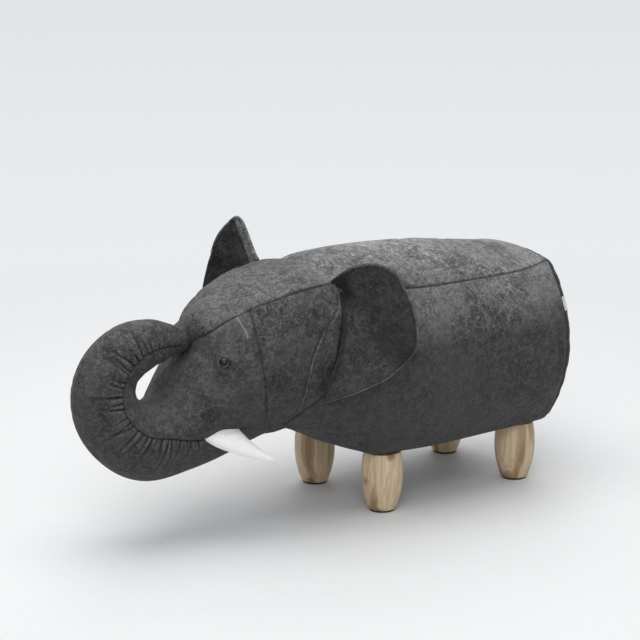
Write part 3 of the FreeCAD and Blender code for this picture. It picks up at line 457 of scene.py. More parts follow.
# ---- effects: each gives colour, height, roughness
def suede(place, given):
    """Distressed suede-like leather: cloudy blotches, crackled mottling and fine lighter fibres."""
    dark, light = given["Dark"], given["Light"]
    cloudy = stepped(noise(place, 11, 3, .6), .38, .62)
    stained = stepped(noise(place, 38, 6, .72, .8), .48, .60)
    worn = stepped(noise(place, 135, 5, .70, 1.1), .44, .58)
    fine = stepped(noise(place, 290, 4, .72, 1.0), .42, .58)
    hair = stepped(noise(vector_maths("MULTIPLY", place, (1.0, 1.0, .7)), 480, 3, .75, 1.8), .52, .64)
    sound = stepped(cells(place, 230, feature="DISTANCE_TO_EDGE"), .0, .24)
    # some areas and the lower part stay smoother, others are worn, speckled and crackled
    rugged = (.42 + cloudy * .95) * map_range(height_of(place), .10, .25, .5)
    speckled = (1.0 - fine) * (.40 + stained * .50) * rugged
    broken = (1.0 - sound) * (.24 + stained * .70) * rugged
    base = mix(worn * rugged * .58, given["Middle"], light)
    for share in (speckled, broken, cloudy * .30):
        base = mix(share, base, dark)
    base = mix(hair * rugged * .26, base, light)
    return base, fine * .5 + sound * .35 + hair * .35, .82 - worn * .18


def wood(place, given):
    """Turned pale wood: growth rings stretched along the leg, brown heart streaks, pores and knots."""
    brown = given["Brown"]
    long = vector_maths("MULTIPLY", place, given["Stretch"])
    drift = noise(long, 42, 2, .45, .5)
    growth = maths("SINE", drift * 62.0) * .5 + .5
    pore = stepped(noise(long, 520, 2, .6), .55, .72)
    knot = ramp(cells(place, 21), [(.08, WHITE), (.20, BLACK)])
    base = mix(growth * .26, given["Pale"], brown)
    base = mix(stepped(drift, .46, .60) * given["Streaks"], base, brown)
    base = mix(knot * .75, base, (.12, .05, .02))
    base = mix(pore * .28, base, brown)
    return base, growth * .5 - pore * .6, .44 + pore * .25


def speckle(place, given):
    """Plain stuff with a fine grain: two noises give colour variation, relief and uneven gloss."""
    fine = noise(place, given["Scale"], 3, .65)
    share = stepped(noise(place, 40, 4, .6) * .4 + fine * .6, .36, .64)
    return mix(share, given["First"], given["Second"]), fine, share * .14 + given["Gloss"]


COLOUR, VECTOR, NUMBER = "NodeSocketColor", "NodeSocketVector", "NodeSocketFloat"
EFFECT_OUTPUTS = (("Colour", COLOUR), ("Height", NUMBER), ("Roughness", NUMBER))
# name of each effect's group, and its inputs with their first values
EFFECTS = {
    suede: ("distressed_suede", (("Dark", COLOUR, (.02, .02, .02, 1)), ("Middle", COLOUR, (.07, .07, .07, 1)),
                                 ("Light", COLOUR, (.16, .16, .155, 1)))),
    wood: ("turned_wood", (("Pale", COLOUR, (.55, .40, .25, 1)), ("Brown", COLOUR, (.25, .12, .05, 1)),
                           ("Stretch", VECTOR, (1, 1, .12)), ("Streaks", NUMBER, .6))),
    speckle: ("fine_speckle", (("First", COLOUR, (.5, .5, .5, 1)), ("Second", COLOUR, (.4, .4, .4, 1)),
                               ("Scale", NUMBER, 300.0), ("Gloss", NUMBER, .5))),
}


def effect_group(effect):
    """The shader group of an effect, made once."""
    name, inputs = EFFECTS[effect]
    tree = bpy.data.node_groups.get(name)
    if tree:
        return tree
    tree = bpy.data.node_groups.new(name, "ShaderNodeTree")
    for label, kind, value in inputs:
        tree.interface.new_socket(label, in_out="INPUT", socket_type=kind).default_value = value
    for label, kind in EFFECT_OUTPUTS:
        tree.interface.new_socket(label, in_out="OUTPUT", socket_type=kind)
    given = tree.nodes.new("NodeGroupInput").outputs
    out = tree.nodes.new("NodeGroupOutput").inputs
    for (label, _), value in zip(EFFECT_OUTPUTS, effect(object_place(tree), given)):
        feed(tree, out[label], value)
    return tree


# ---- materials
def effect_material(name, effect, values, bump, distance, shader=None, recolour=None):
    """A material round one of the effects, made once: bump, constant shader values, further colouring."""
    made = bpy.data.materials.get(name)
    if made:
        return made
    made = bpy.data.materials.new(name)
    made.use_nodes = True
    tree = made.node_tree
    given = add(tree, "ShaderNodeGroup", values, node_tree=effect_group(effect)).outputs
    inputs = {"Height": given["Height"], "Strength": bump, "Distance": distance}
    relief = value_of(tree, "ShaderNodeBump", inputs)
    colour = recolour(tree, given["Colour"]) if recolour else given["Colour"]
    links = {"Base Color": colour, "Roughness": given["Roughness"], "Normal": relief}
    for key, value in {**links, **(shader or {})}.items():
        feed(tree, tree.nodes["Principled BSDF"].inputs[key], value)
    return made


def plain_material(name, first, second, gloss, scale=300.0, bump=.2, distance=.0004, shader=None,
                   recolour=None):
    values = {"First": first, "Second": second, "Scale": scale, "Gloss": gloss}
    return effect_material(name, speckle, values, bump, distance, shader, recolour)


def wood_material(name, pale, brown, stretch, streaks):
    values = {"Pale": pale, "Brown": brown, "Stretch": stretch, "Streaks": streaks}
    return effect_material(name, wood, values, .18, .0005)


def cover_material(settings):
    """The grey cover: suede effect, darkened along seam lines and by painted shade in folds, lightened by
    painted light on the upper side and in worn places.
    """
    def paint_light_and_shade(tree, colour):
        # painted shade and painted light: the first attribute darkens seam lines and shaded folds, the second
        # lightens lit tops and worn places
        fold, light_and_wear = (value_of(tree, "ShaderNodeAttribute", output="Fac", attribute_name=key)
                     for key in ("fold", "light_and_wear"))
        inputs = {0: mix(fold, colour, settings.seam), "Scale": 1.0 + light_and_wear * settings.lit_and_worn}
        return value_of(tree, "ShaderNodeVectorMath", inputs, operation="SCALE")

    values = {"Dark": settings.dark, "Middle": settings.middle, "Light": settings.light}
    shader = {"Sheen Weight": .05, "Sheen Roughness": .5, "Specular IOR Level": .32}
    return effect_material("cover_suede", suede, values, .75, .0007, shader, paint_light_and_shade)


EYE_SPAN = .008
# share of the span, colour: pupil, amber ring, rim
EYE_RING = ((.64, (.003, .003, .003)), (.70, (.13, .09, .014)), (.76, (.26, .19, .035)),
            (.81, (.13, .09, .014)), (.86, (.008, .006, .005)))


def eye_material(name, centre, axis):
    """Glossy button: a black pupil, an amber ring painted brighter low down where light would catch it, and a
    dark rim.
    """
    def ring(tree, colour):
        place = object_place(tree)
        offset = vector_maths("SUBTRACT", place, tuple(centre))
        radius = vector_maths("LENGTH", vector_maths("CROSS_PRODUCT", offset, tuple(axis)))
        # painted light: the ring is brighter towards its lower side
        lower = map_range(height_of(offset), .004, -.003)
        lit = mix(.15 + lower * .85, (.006, .005, .004), ramp(radius * (1 / EYE_SPAN), EYE_RING))
        return mix(noise(place, 900, 3) * .5, lit, colour)

    shader = {"Coat Weight": .05, "Coat Roughness": .05, "Specular IOR Level": .3}
    return plain_material(name, (.003, .003, .003), (.005, .004, .004), .06, 500.0, .02, .0002, shader, ring)


def floor_material(settings):
    """Pale paper that keeps the shadows near the object and runs out into an even background."""
    def run_out(tree, colour):
        place = value_of(tree, "ShaderNodeNewGeometry", output="Position")
        away = vector_maths("DISTANCE", place, (0, FLOOR_MIDDLE * MM, 0))
        far = map_range(away, .55, 1.7, interpolation_type="SMOOTHSTEP")
        paper = mix(map_range(away, 1.5, 6.0), settings.near_paper, settings.backdrop)
        glow = add(tree, "ShaderNodeEmission", {"Color": paper, "Strength": 1.0})
        mix_shaders(tree, far * seen_directly(tree), tree.nodes["Principled BSDF"], glow, "Material Output")
        return colour

    second = [value * .985 for value in settings.floor]
    return plain_material("floor_paper", settings.floor, second, .6, 60.0, .02, recolour=run_out)


# ---- settings
def colour(name, description, default):
    return bpy.props.FloatVectorProperty(name=name, description=description, default=default, size=3,
                                         subtype="COLOR", min=0, max=1)


def length(name, description, default):
    return bpy.props.FloatProperty(name=name, description=description, default=default, unit="LENGTH", min=0)


class FootstoolCover(bpy.types.PropertyGroup):
    seam_depth: length("Seam depth", "Depth of the groove along a seam", .0013)
    seam_width: length("Seam width", "Half width of the groove along a seam", .0013)
    seam_puff: length("Seam puff", "How far the stuffing stands up beside a seam", .0008)
    gathers: bpy.props.IntProperty(
        name="Gathers", description="Folds along the trunk's gathered seam", default=30)
    gather_depth: length("Gather depth", "Depth of the trunk's gathered folds", .0028)
    gather_length: length("Gather length", "How far the folds run from the seam", .034)
    swell_limit: length("Swell limit", "Farthest that the stuffing may push the cover", .002)
    dark: colour("Dark", "Darkest patches of the cover", (.007, .007, .0075))
    middle: colour("Middle", "Main colour of the cover", (.044, .044, .046))
    light: colour("Light", "Rubbed fibres of the cover", (.148, .145, .139))
    # strength of the painted light on the upper side and of the highlighted and worn lines
    lit_and_worn: bpy.props.FloatProperty(
        name="Rubbed", description="How much lighter the rubbed top is", default=4.7, min=0)
    # the colour that seam lines and the painted shade in folds, pleats and round the trunk's tip are drawn
    # towards
    seam: colour("Seam", "Colour deep in seams and folds", (.007, .007, .008))


class FootstoolEar(bpy.types.PropertyGroup):
    thickness: length("Thickness", "Both layers of an ear together", .0054)
    stitch: length("Stitch", "Distance of the top stitching from the rim", .0042)


class FootstoolTusk(bpy.types.PropertyGroup):
    colour: colour("Colour", "Main colour of the tusks", (.965, .955, .935))
    shade: colour("Shade", "Second colour of the tusks", (.86, .85, .83))


class FootstoolWood(bpy.types.PropertyGroup):
    pale: colour("Pale", "Sapwood of the legs", (.71, .55, .365))
    brown: colour("Brown", "Heartwood of the legs", (.24, .125, .05))
    plywood: colour("Plywood", "Face veneer of the box", (.58, .43, .26))


class FootstoolStage(bpy.types.PropertyGroup):
    floor: colour("Floor", "Colour of the floor near the object", (.82, .825, .835))
    near_paper: colour("Paper", "Colour that the floor runs out into", (.82, .845, .86))
    backdrop: colour("Backdrop", "Colour of the background far away", (.76, .775, .79))


# ---- the cover's rings and its swelling
FINE_SPACING, COARSE_SPACING, DOME_SPAN, SPINE_STEPS = 3.1, 9.0, 130, 4000
# stretches of the spine with closer rings: first and last place, spacing in mm
CLOSE_STRETCHES = ((5.4, 8.4, 1.3), (8.8, 9.7, 1.3), (11.1, 20.8, 1.1))
# next to the rear seam: spacing and stretch in mm before it, places of rings behind it
REAR_SPACING, REAR_STRETCH, REAR_PLACES = 1.0, 5, (-.028, -.02, -.012, -.006)
UNDER_WEIGHT = .7
CLOTH = {"vertex_group_mass": "held", "quality": 6, "mass": .3, "tension_stiffness": 18,
         "compression_stiffness": 18, "shear_stiffness": 6, "bending_stiffness": .6, "shrink_min": -.012,
         "use_pressure": True, "uniform_pressure_force": 4.0}
CLOTH_FRAMES, CLOTH_SMOOTHINGS = 20, 6


def ring_places(rows, spacing, close):
    """Places of the rings along the spine, closer together by the seams and gathers."""
    dense = np.linspace(0, TIP, SPINE_STEPS)
    found = rows_at(rows, dense)
    y, z, tilt = found[:, :3].T

    def steps(across, up):
        line = np.stack([across, y - up * np.sin(tilt), z + up * np.cos(tilt)], 1)
        return norm(np.diff(line, axis=0))

    longest = np.maximum(steps(found[:, 6], found[:, 7]), UNDER_WEIGHT * steps(0 * y, found[:, 10]))
    run = np.concatenate([[0], np.cumsum(longest)])
    here, places = 0.0, []
    while here < run[-1]:
        places.append(here)
        step = spacing
        if close:
            at = np.interp(here, run, dense)
            step = min([gap for first, last, gap in CLOSE_STRETCHES if first <= at <= last] + [spacing])
            step = REAR_SPACING if here < REAR_STRETCH else step
        here += step
    places = np.interp(places + [run[-1]], run, dense)
    dome = -np.linspace(1, 0, max(6, int(DOME_SPAN / spacing)), endpoint=False)
    dome = np.concatenate([dome, REAR_PLACES]) if close else dome
    return np.concatenate([np.sort(dome), places])


def swelling(rows, limit):
    """Cloth simulation of the cover under the stuffing's pressure; gives places of rings and moves."""
    places = ring_places(rows, COARSE_SPACING, False)
    points = rings(rows, places, COARSE_COUNTS, COARSE_CLOSENESS)
    count, around = points.shape[:2]
    coarse = mesh_object("cover_cloth", points.reshape(-1, 3), grid_faces(count, around).tolist())
    held = np.zeros((count, around))
    left, low_left, low_right = columns(COARSE_COUNTS)
    held[:, [0, left]] = 1
    body = places < CHEST
    held[np.ix_(~body, [low_left, low_right])] = 1
    held[np.ix_(body & (places > 0), np.arange(low_left, low_right + 1))] = 1
    for seam in (REAR_SEAM, EAR_SEAM, NECK_SEAM, DART_SEAM):
        nearest = np.abs(places - seam).argmin()
        held[nearest, left:low_left] = held[nearest, low_right:] = 1
    held[[0, -1, np.abs(places).argmin()]] = 1
    group = coarse.vertex_groups.new(name="held")
    group.add(np.flatnonzero(held.ravel()).tolist(), 1.0, "REPLACE")
    cloth = coarse.modifiers.new("cloth", "CLOTH")
    for key, value in CLOTH.items():
        setattr(cloth.settings, key, value)
    cloth.settings.effector_weights.gravity = 0
    cloth.collision_settings.use_collision = False
    cloth.point_cache.frame_start, cloth.point_cache.frame_end = 1, CLOTH_FRAMES
    scene = bpy.context.scene
    for number in range(1, CLOTH_FRAMES + 1):
        scene.frame_set(number)
    seen = coarse.evaluated_get(bpy.context.evaluated_depsgraph_get())
    flat = np.empty(count * around * 3)
    seen.data.vertices.foreach_get("co", flat)
    moved = flat.reshape(count, around, 3) / MM - points
    scene.frame_set(1)
    bpy.data.objects.remove(coarse, do_unlink=True)
    # the panels are cut to the stuffed shape, so only the unevenness of the swelling stays
    outward = (moved * grid_normals(points)).sum(axis=-1)
    even = outward
    for _ in range(CLOTH_SMOOTHINGS):
        even = (np.roll(even, 1, 1) + 2 * even + np.roll(even, -1, 1)) / 4
        even[1:-1] = (even[:-2] + 2 * even[1:-1] + even[2:]) / 4
    return places, np.clip(outward - even, -limit / MM, limit / MM)


def hermite(x, values, at):
    """Smooth interpolation through values at rising x."""
    slope = np.gradient(values, x)
    k = np.clip(np.searchsorted(x, at, "right") - 1, 0, len(x) - 2)
    gap = x[k + 1] - x[k]
    t = (at - x[k]) / gap
    a, b = values[k], values[k + 1]
    return ((1 + 2 * t) * (1 - t) ** 2 * a + t * (1 - t) ** 2 * gap * slope[k]
            + t * t * (3 - 2 * t) * b + t * t * (t - 1) * gap * slope[k + 1])


def spread(places, moved, new_places):
    """The coarse moves on the fine grid, smooth along and around."""
    old, new = (np.concatenate([k + gathered(counts[n], closeness) for k, n in enumerate(STRIPS)])
                for counts, closeness in ((COARSE_COUNTS, COARSE_CLOSENESS), (FINE_COUNTS, FINE_CLOSENESS)))
    old = np.append(old, float(len(STRIPS)))
    closed = np.concatenate([moved, moved[:, :1]], axis=1)
    around = np.stack([hermite(old, row, new) for row in closed])
    return np.stack([hermite(places, column, new_places) for column in around.T], axis=1)


# ---- the stuffed cover
# tables of a place along the spine and a share: swelling kept, forehead's recess, painted light on the upper
# side, lowest normal that gets painted light and the span from there
SWELL_SHARES = ((11.5, .65), (13.5, .25))
BROW_SHARES = ((9.5, 0), (10.9, 1), (11.5, .85), (12.4, 0))
TOP_LIGHT_SHARES = ((5.4, 1.0), (7.4, .35), (11.5, .27), (13.0, .16))
TOP_LIGHT_START_SHARES, TOP_LIGHT_SPAN_SHARES = ((5.4, .25), (8, -.2)), ((5.4, .6), (8, 1.0))
# seams across the sides: line, strength
SIDE_LINES = ((EAR_LINE_SHARES, 1.0), (NECK_LINE_SHARES, .7), (DART_LINE_SHARES, .85))
PUFF_REACH, PUFF_SHARE = 7.0, .9
SEAM_INSET, REAR_SEAM_REACH = 11.0, 40
GATHER_ENDS = (TRUNK_ROOT - .1, TIP - 1.5)
# mm that the forms add to or take from the plain sections
CURL_FULLNESS, CURL_END_FULLNESS, BROW_RECESS, FAR_BROW_PRESS = 4.2, 5.0, 13.0, 12.0
NECK_DIP, CROWN_RISE, RIM_FULLNESS, RIM_DEPTH = 7.0, 2.0, 3.6, 4.0
# directions that the near and far side of the forehead face
BROW_WAYS, FAR_BROW_WAY = ((.35, -.78, .52), (-.35, -.78, .52)), (-.59, -.557, .58)
# the base that the cover is turned in under, from the legs' middle, and the hem's height and width
BASE_HALF_WIDTH, BASE_REAR, BASE_FRONT, HEM_HEIGHT, HEM_SPAN, HEM_ROUND = 91, 141, 134, 87.3, 26, 24
# the part of the underside that the base hides and that is left open
OPEN_HALF_WIDTH, OPEN_REAR, OPEN_FRONT, OPEN_HEIGHT = 68, 118, 100, 112
# rounded end of the trunk: share of the last ring, mm beyond it
TIP_CAPS = ((.99, 2.8), (.965, 5.6), (.92, 8.2), (.84, 10.6), (.72, 12.6), (.55, 14.0), (.34, 14.8),
            (.12, 15.0))
# painted shade on the rounded end; reach of the painted shadow on the face in mm, and how far ahead of the
# tip its middle is
TIP_CAP_SHADE, TIP_SHADE_REACH, TIP_SHADE_AHEAD = .15, 23, 8
# reach of the flat area under an eye
CALM_REACH = 16


def seam_profile(distance, depth, width, puff):
    """Groove along a seam with the stuffing standing up softly beside it."""
    away = distance / PUFF_REACH
    return -depth * bell(distance, width) + puff * away * np.exp(1 - away) * PUFF_SHARE


class Skin:
    """The cover as a grid of rings, with its moves outwards, its darkened places (seam lines and painted
    shade) and its lightened places (painted light and worn lines).
    """

    def __init__(self, settings):
        self.settings = settings
        rows = body_rows()
        self.places = ring_places(rows, FINE_SPACING, True)
        self.where = self.places[:, None]
        self.points = points = rings(rows, self.places)
        self.normal = grid_normals(points)
        # outward moves, darkening by seam lines and painted shade, lightening by painted light and worn
        # places
        self.move, self.fold, self.light_and_wear = (np.zeros(points.shape[:2]) for _ in range(3))
        moved = spread(*swelling(rows, settings.swell_limit), self.places)
        self.move += moved * look_up(SWELL_SHARES, self.places)[:, None]
        # distances along each ring, along each column and from the rear seam
        step = norm(np.roll(points, -1, 1) - points)
        run = np.cumsum(np.pad(step, ((0, 0), (1, 0))), axis=1)
        self.run, self.whole = run[:, :-1], run[:, -1:]
        across = norm(np.diff(points, axis=0))
        self.along = np.cumsum(np.pad(across, ((1, 0), (0, 0))), axis=0)
        self.rear = np.abs(self.along - self.along[np.abs(self.places).argmin()])
        # share of the way down the side panels, one elsewhere
        side = gathered(FINE_COUNTS[1], FINE_CLOSENESS)
        self.down = np.ones(points.shape[1])
        self.down[LEFT:LOW_LEFT], self.down[LOW_RIGHT:], self.down[0] = side, 1 - side, 0
        self.wave = smooth_noise(points / 9.0, 5) * .5 + smooth_noise(points / 22.0, 6) * .5
        self.pucker = 1 + .30 * self.wave

    def gap_to(self, line):
        """Signed distance of the side panels' points from a line across them, forwards, else far away."""
        gap = np.full(self.move.shape, 99.0)
        for column in (0, *range(LEFT, LOW_LEFT + 1), *range(LOW_RIGHT, len(self.down))):
            along = self.along[:, column]
            gap[:, column] = along - np.interp(look_up(line, self.down[column]), self.places, along)
        return gap

    def sew(self, gap, strength, dark, dark_width, deeper=1.0, wider=1.0):
        """A seam: its groove, the stuffing beside it and a dark line, partly the seam's own and partly
        painted shade in the groove.
        """
        given = self.settings
        depth, width, puff = (size / MM for size in (given.seam_depth, given.seam_width, given.seam_puff))
        self.move += strength * self.pucker * seam_profile(np.abs(gap), deeper * depth, wider * width, puff)
        # dark line: partly the seam itself, partly painted shade in the groove
        self.fold += strength * dark * bell(gap, dark_width)

    def seams(self):
        """The seams beside the top panel, under the trunk, round the rear and across the sides; a scratch."""
        run, where = self.run, self.where
        # over the forehead the top seams leave the panel's edge and run straight to the trunk's tip
        inset = SEAM_INSET * eased(rise(where, 10.0, .9))
        top = np.minimum(np.abs(run - run[:, LEFT:LEFT + 1] + inset),
                         np.minimum(np.abs(run - inset), np.abs(self.whole + inset - run)))
        low = np.minimum(*(np.abs(run - run[:, k:k + 1]) for k in (LOW_LEFT, LOW_RIGHT)))
        on_top = rise(where, -.02, .02) * np.clip(1.0 - (where - 11.0) / .5, .05, 1)
        self.sew(top, on_top, dark=1.0, dark_width=1.4)
        self.sew(low, rise(where, 10.2, .4) * fall(where, TIP - .1, .4), dark=.8, dark_width=1.2)
        self.sew(self.rear, self.rear < REAR_SEAM_REACH, dark=.95, dark_width=1.8, deeper=1.7, wider=1.2)
        for line, strength in SIDE_LINES:
            gap = self.gap_to(line)
            if line is NECK_LINE_SHARES:
                strength = strength * rise(self.down, .13, .05)
                # painted highlight along the neck seam's upper edge
                self.light_and_wear += .45 * bell(gap + 2.0, .8) * rise(self.wave, -1.2, 1.6)
            self.sew(gap, strength, dark=.85, dark_width=1.2)
        scratch = self.gap_to(SCRATCH_LINE_SHARES)
        self.light_and_wear += 1.1 * bell(scratch, .8) * (self.down < .19) * np.clip(self.wave + .9, 0, 1)

    def gathers(self):
        """Folds of the trunk's outer strip, fanning out from the seam at each side."""
        source = np.random.default_rng(11)
        middle = LOW_LEFT + FINE_COUNTS[2]
        halves = slice(LOW_LEFT, middle), slice(middle, LOW_RIGHT + 1)
        for column, half in zip((LOW_LEFT, LOW_RIGHT), halves):
            reach = np.interp(GATHER_ENDS, self.places, self.along[:, column])
            spots = np.linspace(*reach, self.settings.gathers)
            spots = spots + source.uniform(-.34, .34, len(spots)) * (spots[1] - spots[0])
            distance = np.abs(self.run[:, half] - self.run[:, column:column + 1])
            here = self.along[:, column:column + 1]
            for spot in spots:
                ends = np.clip((spot - reach[0]) / 22, .25, 1) * np.clip((reach[1] - spot) / 30, .3, 1)
                deep = self.settings.gather_depth / MM * source.uniform(.5, 1.15)
                far = self.settings.gather_length / MM * source.uniform(.45, 1.15) * ends
                lean = source.uniform(-.20, .20)
                aside = here - spot - lean * distance
                fade = bell(distance, far)
                groove = bell(aside, .85 + .022 * distance)
                self.move[:, half] -= deep * groove * fade
                self.move[:, half] += .45 * deep * bell(np.abs(aside) - 3.4, 2.0) * fade
                # painted shade in each groove, and a lighter line along the ridges beside it
                self.fold[:, half] += .95 * groove * bell(distance, .95 * far)
                self.light_and_wear[:, half] += .16 * bell(np.abs(aside) - 2.6, 1.1) * fade
        self.move += .30 * smooth_noise(self.points / 30.0, 9)

    def shape(self):
        """The forms that the plain sections lack, and then all moves of the points."""
        where, points, normal = self.where, self.points, self.normal
        # the curl is fuller on its inside
        strip = (self.places > 13) & (self.places < 20)
        flat = points * [0, 1, 1]
        hollow = flat[strip][:, :LEFT].reshape(-1, 3).mean(axis=0)
        facing = np.clip((normal * unit(hollow - flat, 1)).sum(axis=-1), 0, 1)
        self.move += CURL_FULLNESS * facing * rise(where, 12.6, 1.6) * fall(where, 20.6, 1.2)
        self.move += CURL_END_FULLNESS * facing * rise(where, 17.0, 1.2) * fall(where, 20.5, .8)
        # the forehead falls back from the trunk's tip, and its far side is pressed in above the eye
        brow = np.clip(1.25 * np.maximum(*(normal @ way for way in BROW_WAYS)), 0, 1)
        brow = brow * look_up(BROW_SHARES, where)
        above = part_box("eye_right")[1][2] / MM + 3
        pressed = bell(where - EYE_ROW, .95) * np.clip(-points[..., 0] / 40, 0, 1)
        pressed = pressed * rise(points[..., 2], above, 22)
        self.move -= FAR_BROW_PRESS * pressed * np.clip(1.2 * (normal @ FAR_BROW_WAY), 0, 1)
        # between the seat and the head the top panel dips
        dip = CROWN_RISE * bell(where - 7.4, .8) - NECK_DIP * bell(where - 5.65, .4)
        self.move += rise(normal[..., 2], .35, .4) * dip
        # the cover lies flat under the eyes
        for side in SIDES:
            calm = 1 - np.exp(-(norm(points - eye_centre(side)) / CALM_REACH) ** 4)
            self.move, brow = self.move * calm, brow * calm
        # the rear panel has a soft rim
        rim = unit((points - points[0].mean(axis=0)) * [1, 0, 1], 1)
        soft = bell(self.rear - 7, 4.5) * (where < REAR_SEAM)
        self.points = points + normal * self.move[..., None] + rim * (RIM_FULLNESS * soft)[..., None]
        self.points[..., 1] += BROW_RECESS * brow + RIM_DEPTH * soft

    def tuck(self):
        """The cover is drawn over the edge of the base and turned in under it."""
        x, y, z = np.moveaxis(self.points, -1, 0)
        aside = np.maximum(np.abs(x) - BASE_HALF_WIDTH, 0)
        behind = np.maximum(y - (LEGS_MIDDLE + BASE_REAR), 0)
        before = np.maximum((LEGS_MIDDLE - BASE_FRONT) - y, 0)
        away = np.sqrt(aside**2 + behind**2 + (.55 * before) ** 2)
        near = np.zeros(self.move.shape, bool)
        near[:, LOW_LEFT - 14:LOW_RIGHT + 15] = True
        near &= (z < 108) & (self.where > -.35) & (self.where < 5.2) & (away < HEM_SPAN)
        share = eased(np.clip(away / HEM_SPAN, 0, 1))
        bulge = 2.2 * np.sin(np.pi * np.clip(away / HEM_ROUND, 0, 1))
        tucked = HEM_HEIGHT + share * (z - HEM_HEIGHT) - bulge
        self.points[..., 2] = np.where(near, np.minimum(z, tucked), z)

    def tip(self):
        """Middle of the last ring and the way that the trunk points there."""
        middle = self.points[-1].mean(axis=0)
        return middle, unit(middle - self.points[-6].mean(axis=0))

    def paint_light_and_shade(self):
        """Painted light on the upper side, and a painted shadow on the face where the trunk's tip rests on
        it.
        """
        where, points = self.where, self.points
        # lighter where the cover faces up: painted light from above, with some real fading, made uneven
        lit = rise(self.normal[..., 2], look_up(TOP_LIGHT_START_SHARES, where), look_up(TOP_LIGHT_SPAN_SHARES, where))
        uneven = np.clip(.85 + .3 * smooth_noise(points / 40.0, 14), 0, 1)
        self.light_and_wear += look_up(TOP_LIGHT_SHARES, where) * lit * uneven
        # painted shadow on the face round the trunk's tip
        tip, out = self.tip()
        away = norm(points - tip - TIP_SHADE_AHEAD * out)
        self.fold += .9 * bell(away, TIP_SHADE_REACH) * (where > 9.8) * (where < 13.5)

    def mesh(self):
        """The cover's mesh, open above the base, closed at the rear panel's middle and the trunk's tip."""
        count, around = self.move.shape
        flat = self.points.reshape(-1, 3)
        faces = grid_faces(count, around)
        x, y, z = flat[faces].mean(axis=1).T
        column = faces[:, 0] % around
        hidden = (column >= LOW_LEFT) & (column < LOW_RIGHT)
        hidden &= (np.abs(x) < OPEN_HALF_WIDTH) & (z < OPEN_HEIGHT)
        hidden &= (y > LEGS_MIDDLE - OPEN_FRONT) & (y < LEGS_MIDDLE + OPEN_REAR)
        faces = faces[~hidden].tolist()
        tip, out = self.tip()
        caps = [tip + (self.points[-1] - tip) * share + out * far for share, far in TIP_CAPS]
        for number in range(len(caps)):
            base = len(flat) + number * around
            faces += band(base - around, base, around)
        hubs = [self.points[0].mean(axis=0), tip + out * TIP_CAPS[-1][1]]
        first = len(flat) + len(caps) * around
        faces += fan(0, first, around) + fan(first - around, first + 1, around, True)
        spare = np.zeros(len(caps) * around + len(hubs))
        # the caps carry a little painted shade and no painted light; the rest carries seam lines, painted
        # shade, painted light and worn lines
        marks = {key: np.clip(np.concatenate([values.ravel(), spare + end]), 0, 1)
                 for key, values, end in (("fold", self.fold, TIP_CAP_SHADE), ("light_and_wear", self.light_and_wear, 0))}
        return mesh_object("stuffed_cover", np.concatenate([flat, *caps, hubs]), faces, marks)


def build_cover(settings):
    """The stuffed skin from the rear panel to the trunk's tip, with its seams, puckers and gathers."""
    skin = Skin(settings)
    for step in (skin.seams, skin.gathers, skin.shape, skin.tuck, skin.paint_light_and_shade):
        step()
    return skin.mesh()


# ---- ears
EAR_FOOT, EAR_HEIGHT, EAR_SPOKES, EAR_RINGS = 186.1, 143.7, 220, 46
EAR_HUB_SHARES = (.42, .58)
STITCH_LENGTH = 3.4
# sizes in mm and degrees, and shares: of the pleat, for its dent and its painted shade, and of the painted
# shade in the dip and at the root
Ear = namedtuple("Ear", "reach cup angle curl lean crease pleat_share valley_share root_share seed")
EARS = {
    "left": Ear(99.0, 9.0, 53.0, 50, 9, 8.0, 1.0, .78, 1.0, 21),
    "right": Ear(76.0, 18.0, -23.0, 12, 0, 2.5, .4, .25, .3, 22),
}
# outlines of the flat ears: share of the reach, share of the root's height
EAR_OUTLINE_SHARES = {
    "left": ((0, -.02), (.28, -.01), (.60, .09), (.77, .17), (.90, .30), (1.0, .44), (.975, .62), (.94, .82),
             (.885, .99), (.78, 1.13), (.57, 1.205), (.36, 1.205), (.14, 1.15), (-.12, .985), (-.02, .86),
             (-.03, .40)),
    "right": ((0, -.02), (.24, 0), (.60, .09), (.90, .32), (1.045, .59), (1.04, .86), (1.0, 1.04),
              (.89, 1.21), (.71, 1.34), (.57, 1.395), (.47, 1.36), (.37, 1.25), (.20, 1.08), (0, .95),
              (-.03, .80), (-.03, .40)),
}
# the far ear's folded inner edge, in the same shares, and how its curve goes back
FOLDED_EDGE_SHARES = ((.62, 1.34), (.54, 1.20), (.40, 1.04), (.22, .90))
FOLDED_BACK_SHARES = ((.30, .97), (.60, 1.30))


def ear_root(height):
    """Places of the ear's root at given heights, in mm, and how squarely the skin faces sideways there."""
    top = EAR_FOOT + EAR_HEIGHT
    row = rows_at(body_rows(), (EAR_SEAM + .60 * np.clip((top - height) / EAR_HEIGHT, 0, 1)).ravel())
    y, z, tilt = row[:, :3].T
    across, up, radius = circle(row[:, 3:5], row[:, 6:8], row[:, 8:10])
    level = np.minimum(height, top).ravel()
    lift = (level - z) / np.cos(tilt)
    reach = np.sqrt(np.maximum(radius**2 - (lift - up) ** 2, (.25 * radius) ** 2))
    back = 6.0 * np.sin(math.pi * np.clip(1 - (top - level) / EAR_HEIGHT, 0, 1) ** 1.3)
    found = np.stack([across + reach, y - lift * np.sin(tilt) + LEGS_MIDDLE + back, height.ravel()], -1)
    return found.reshape(*height.shape, 3), (reach / radius).reshape(height.shape)


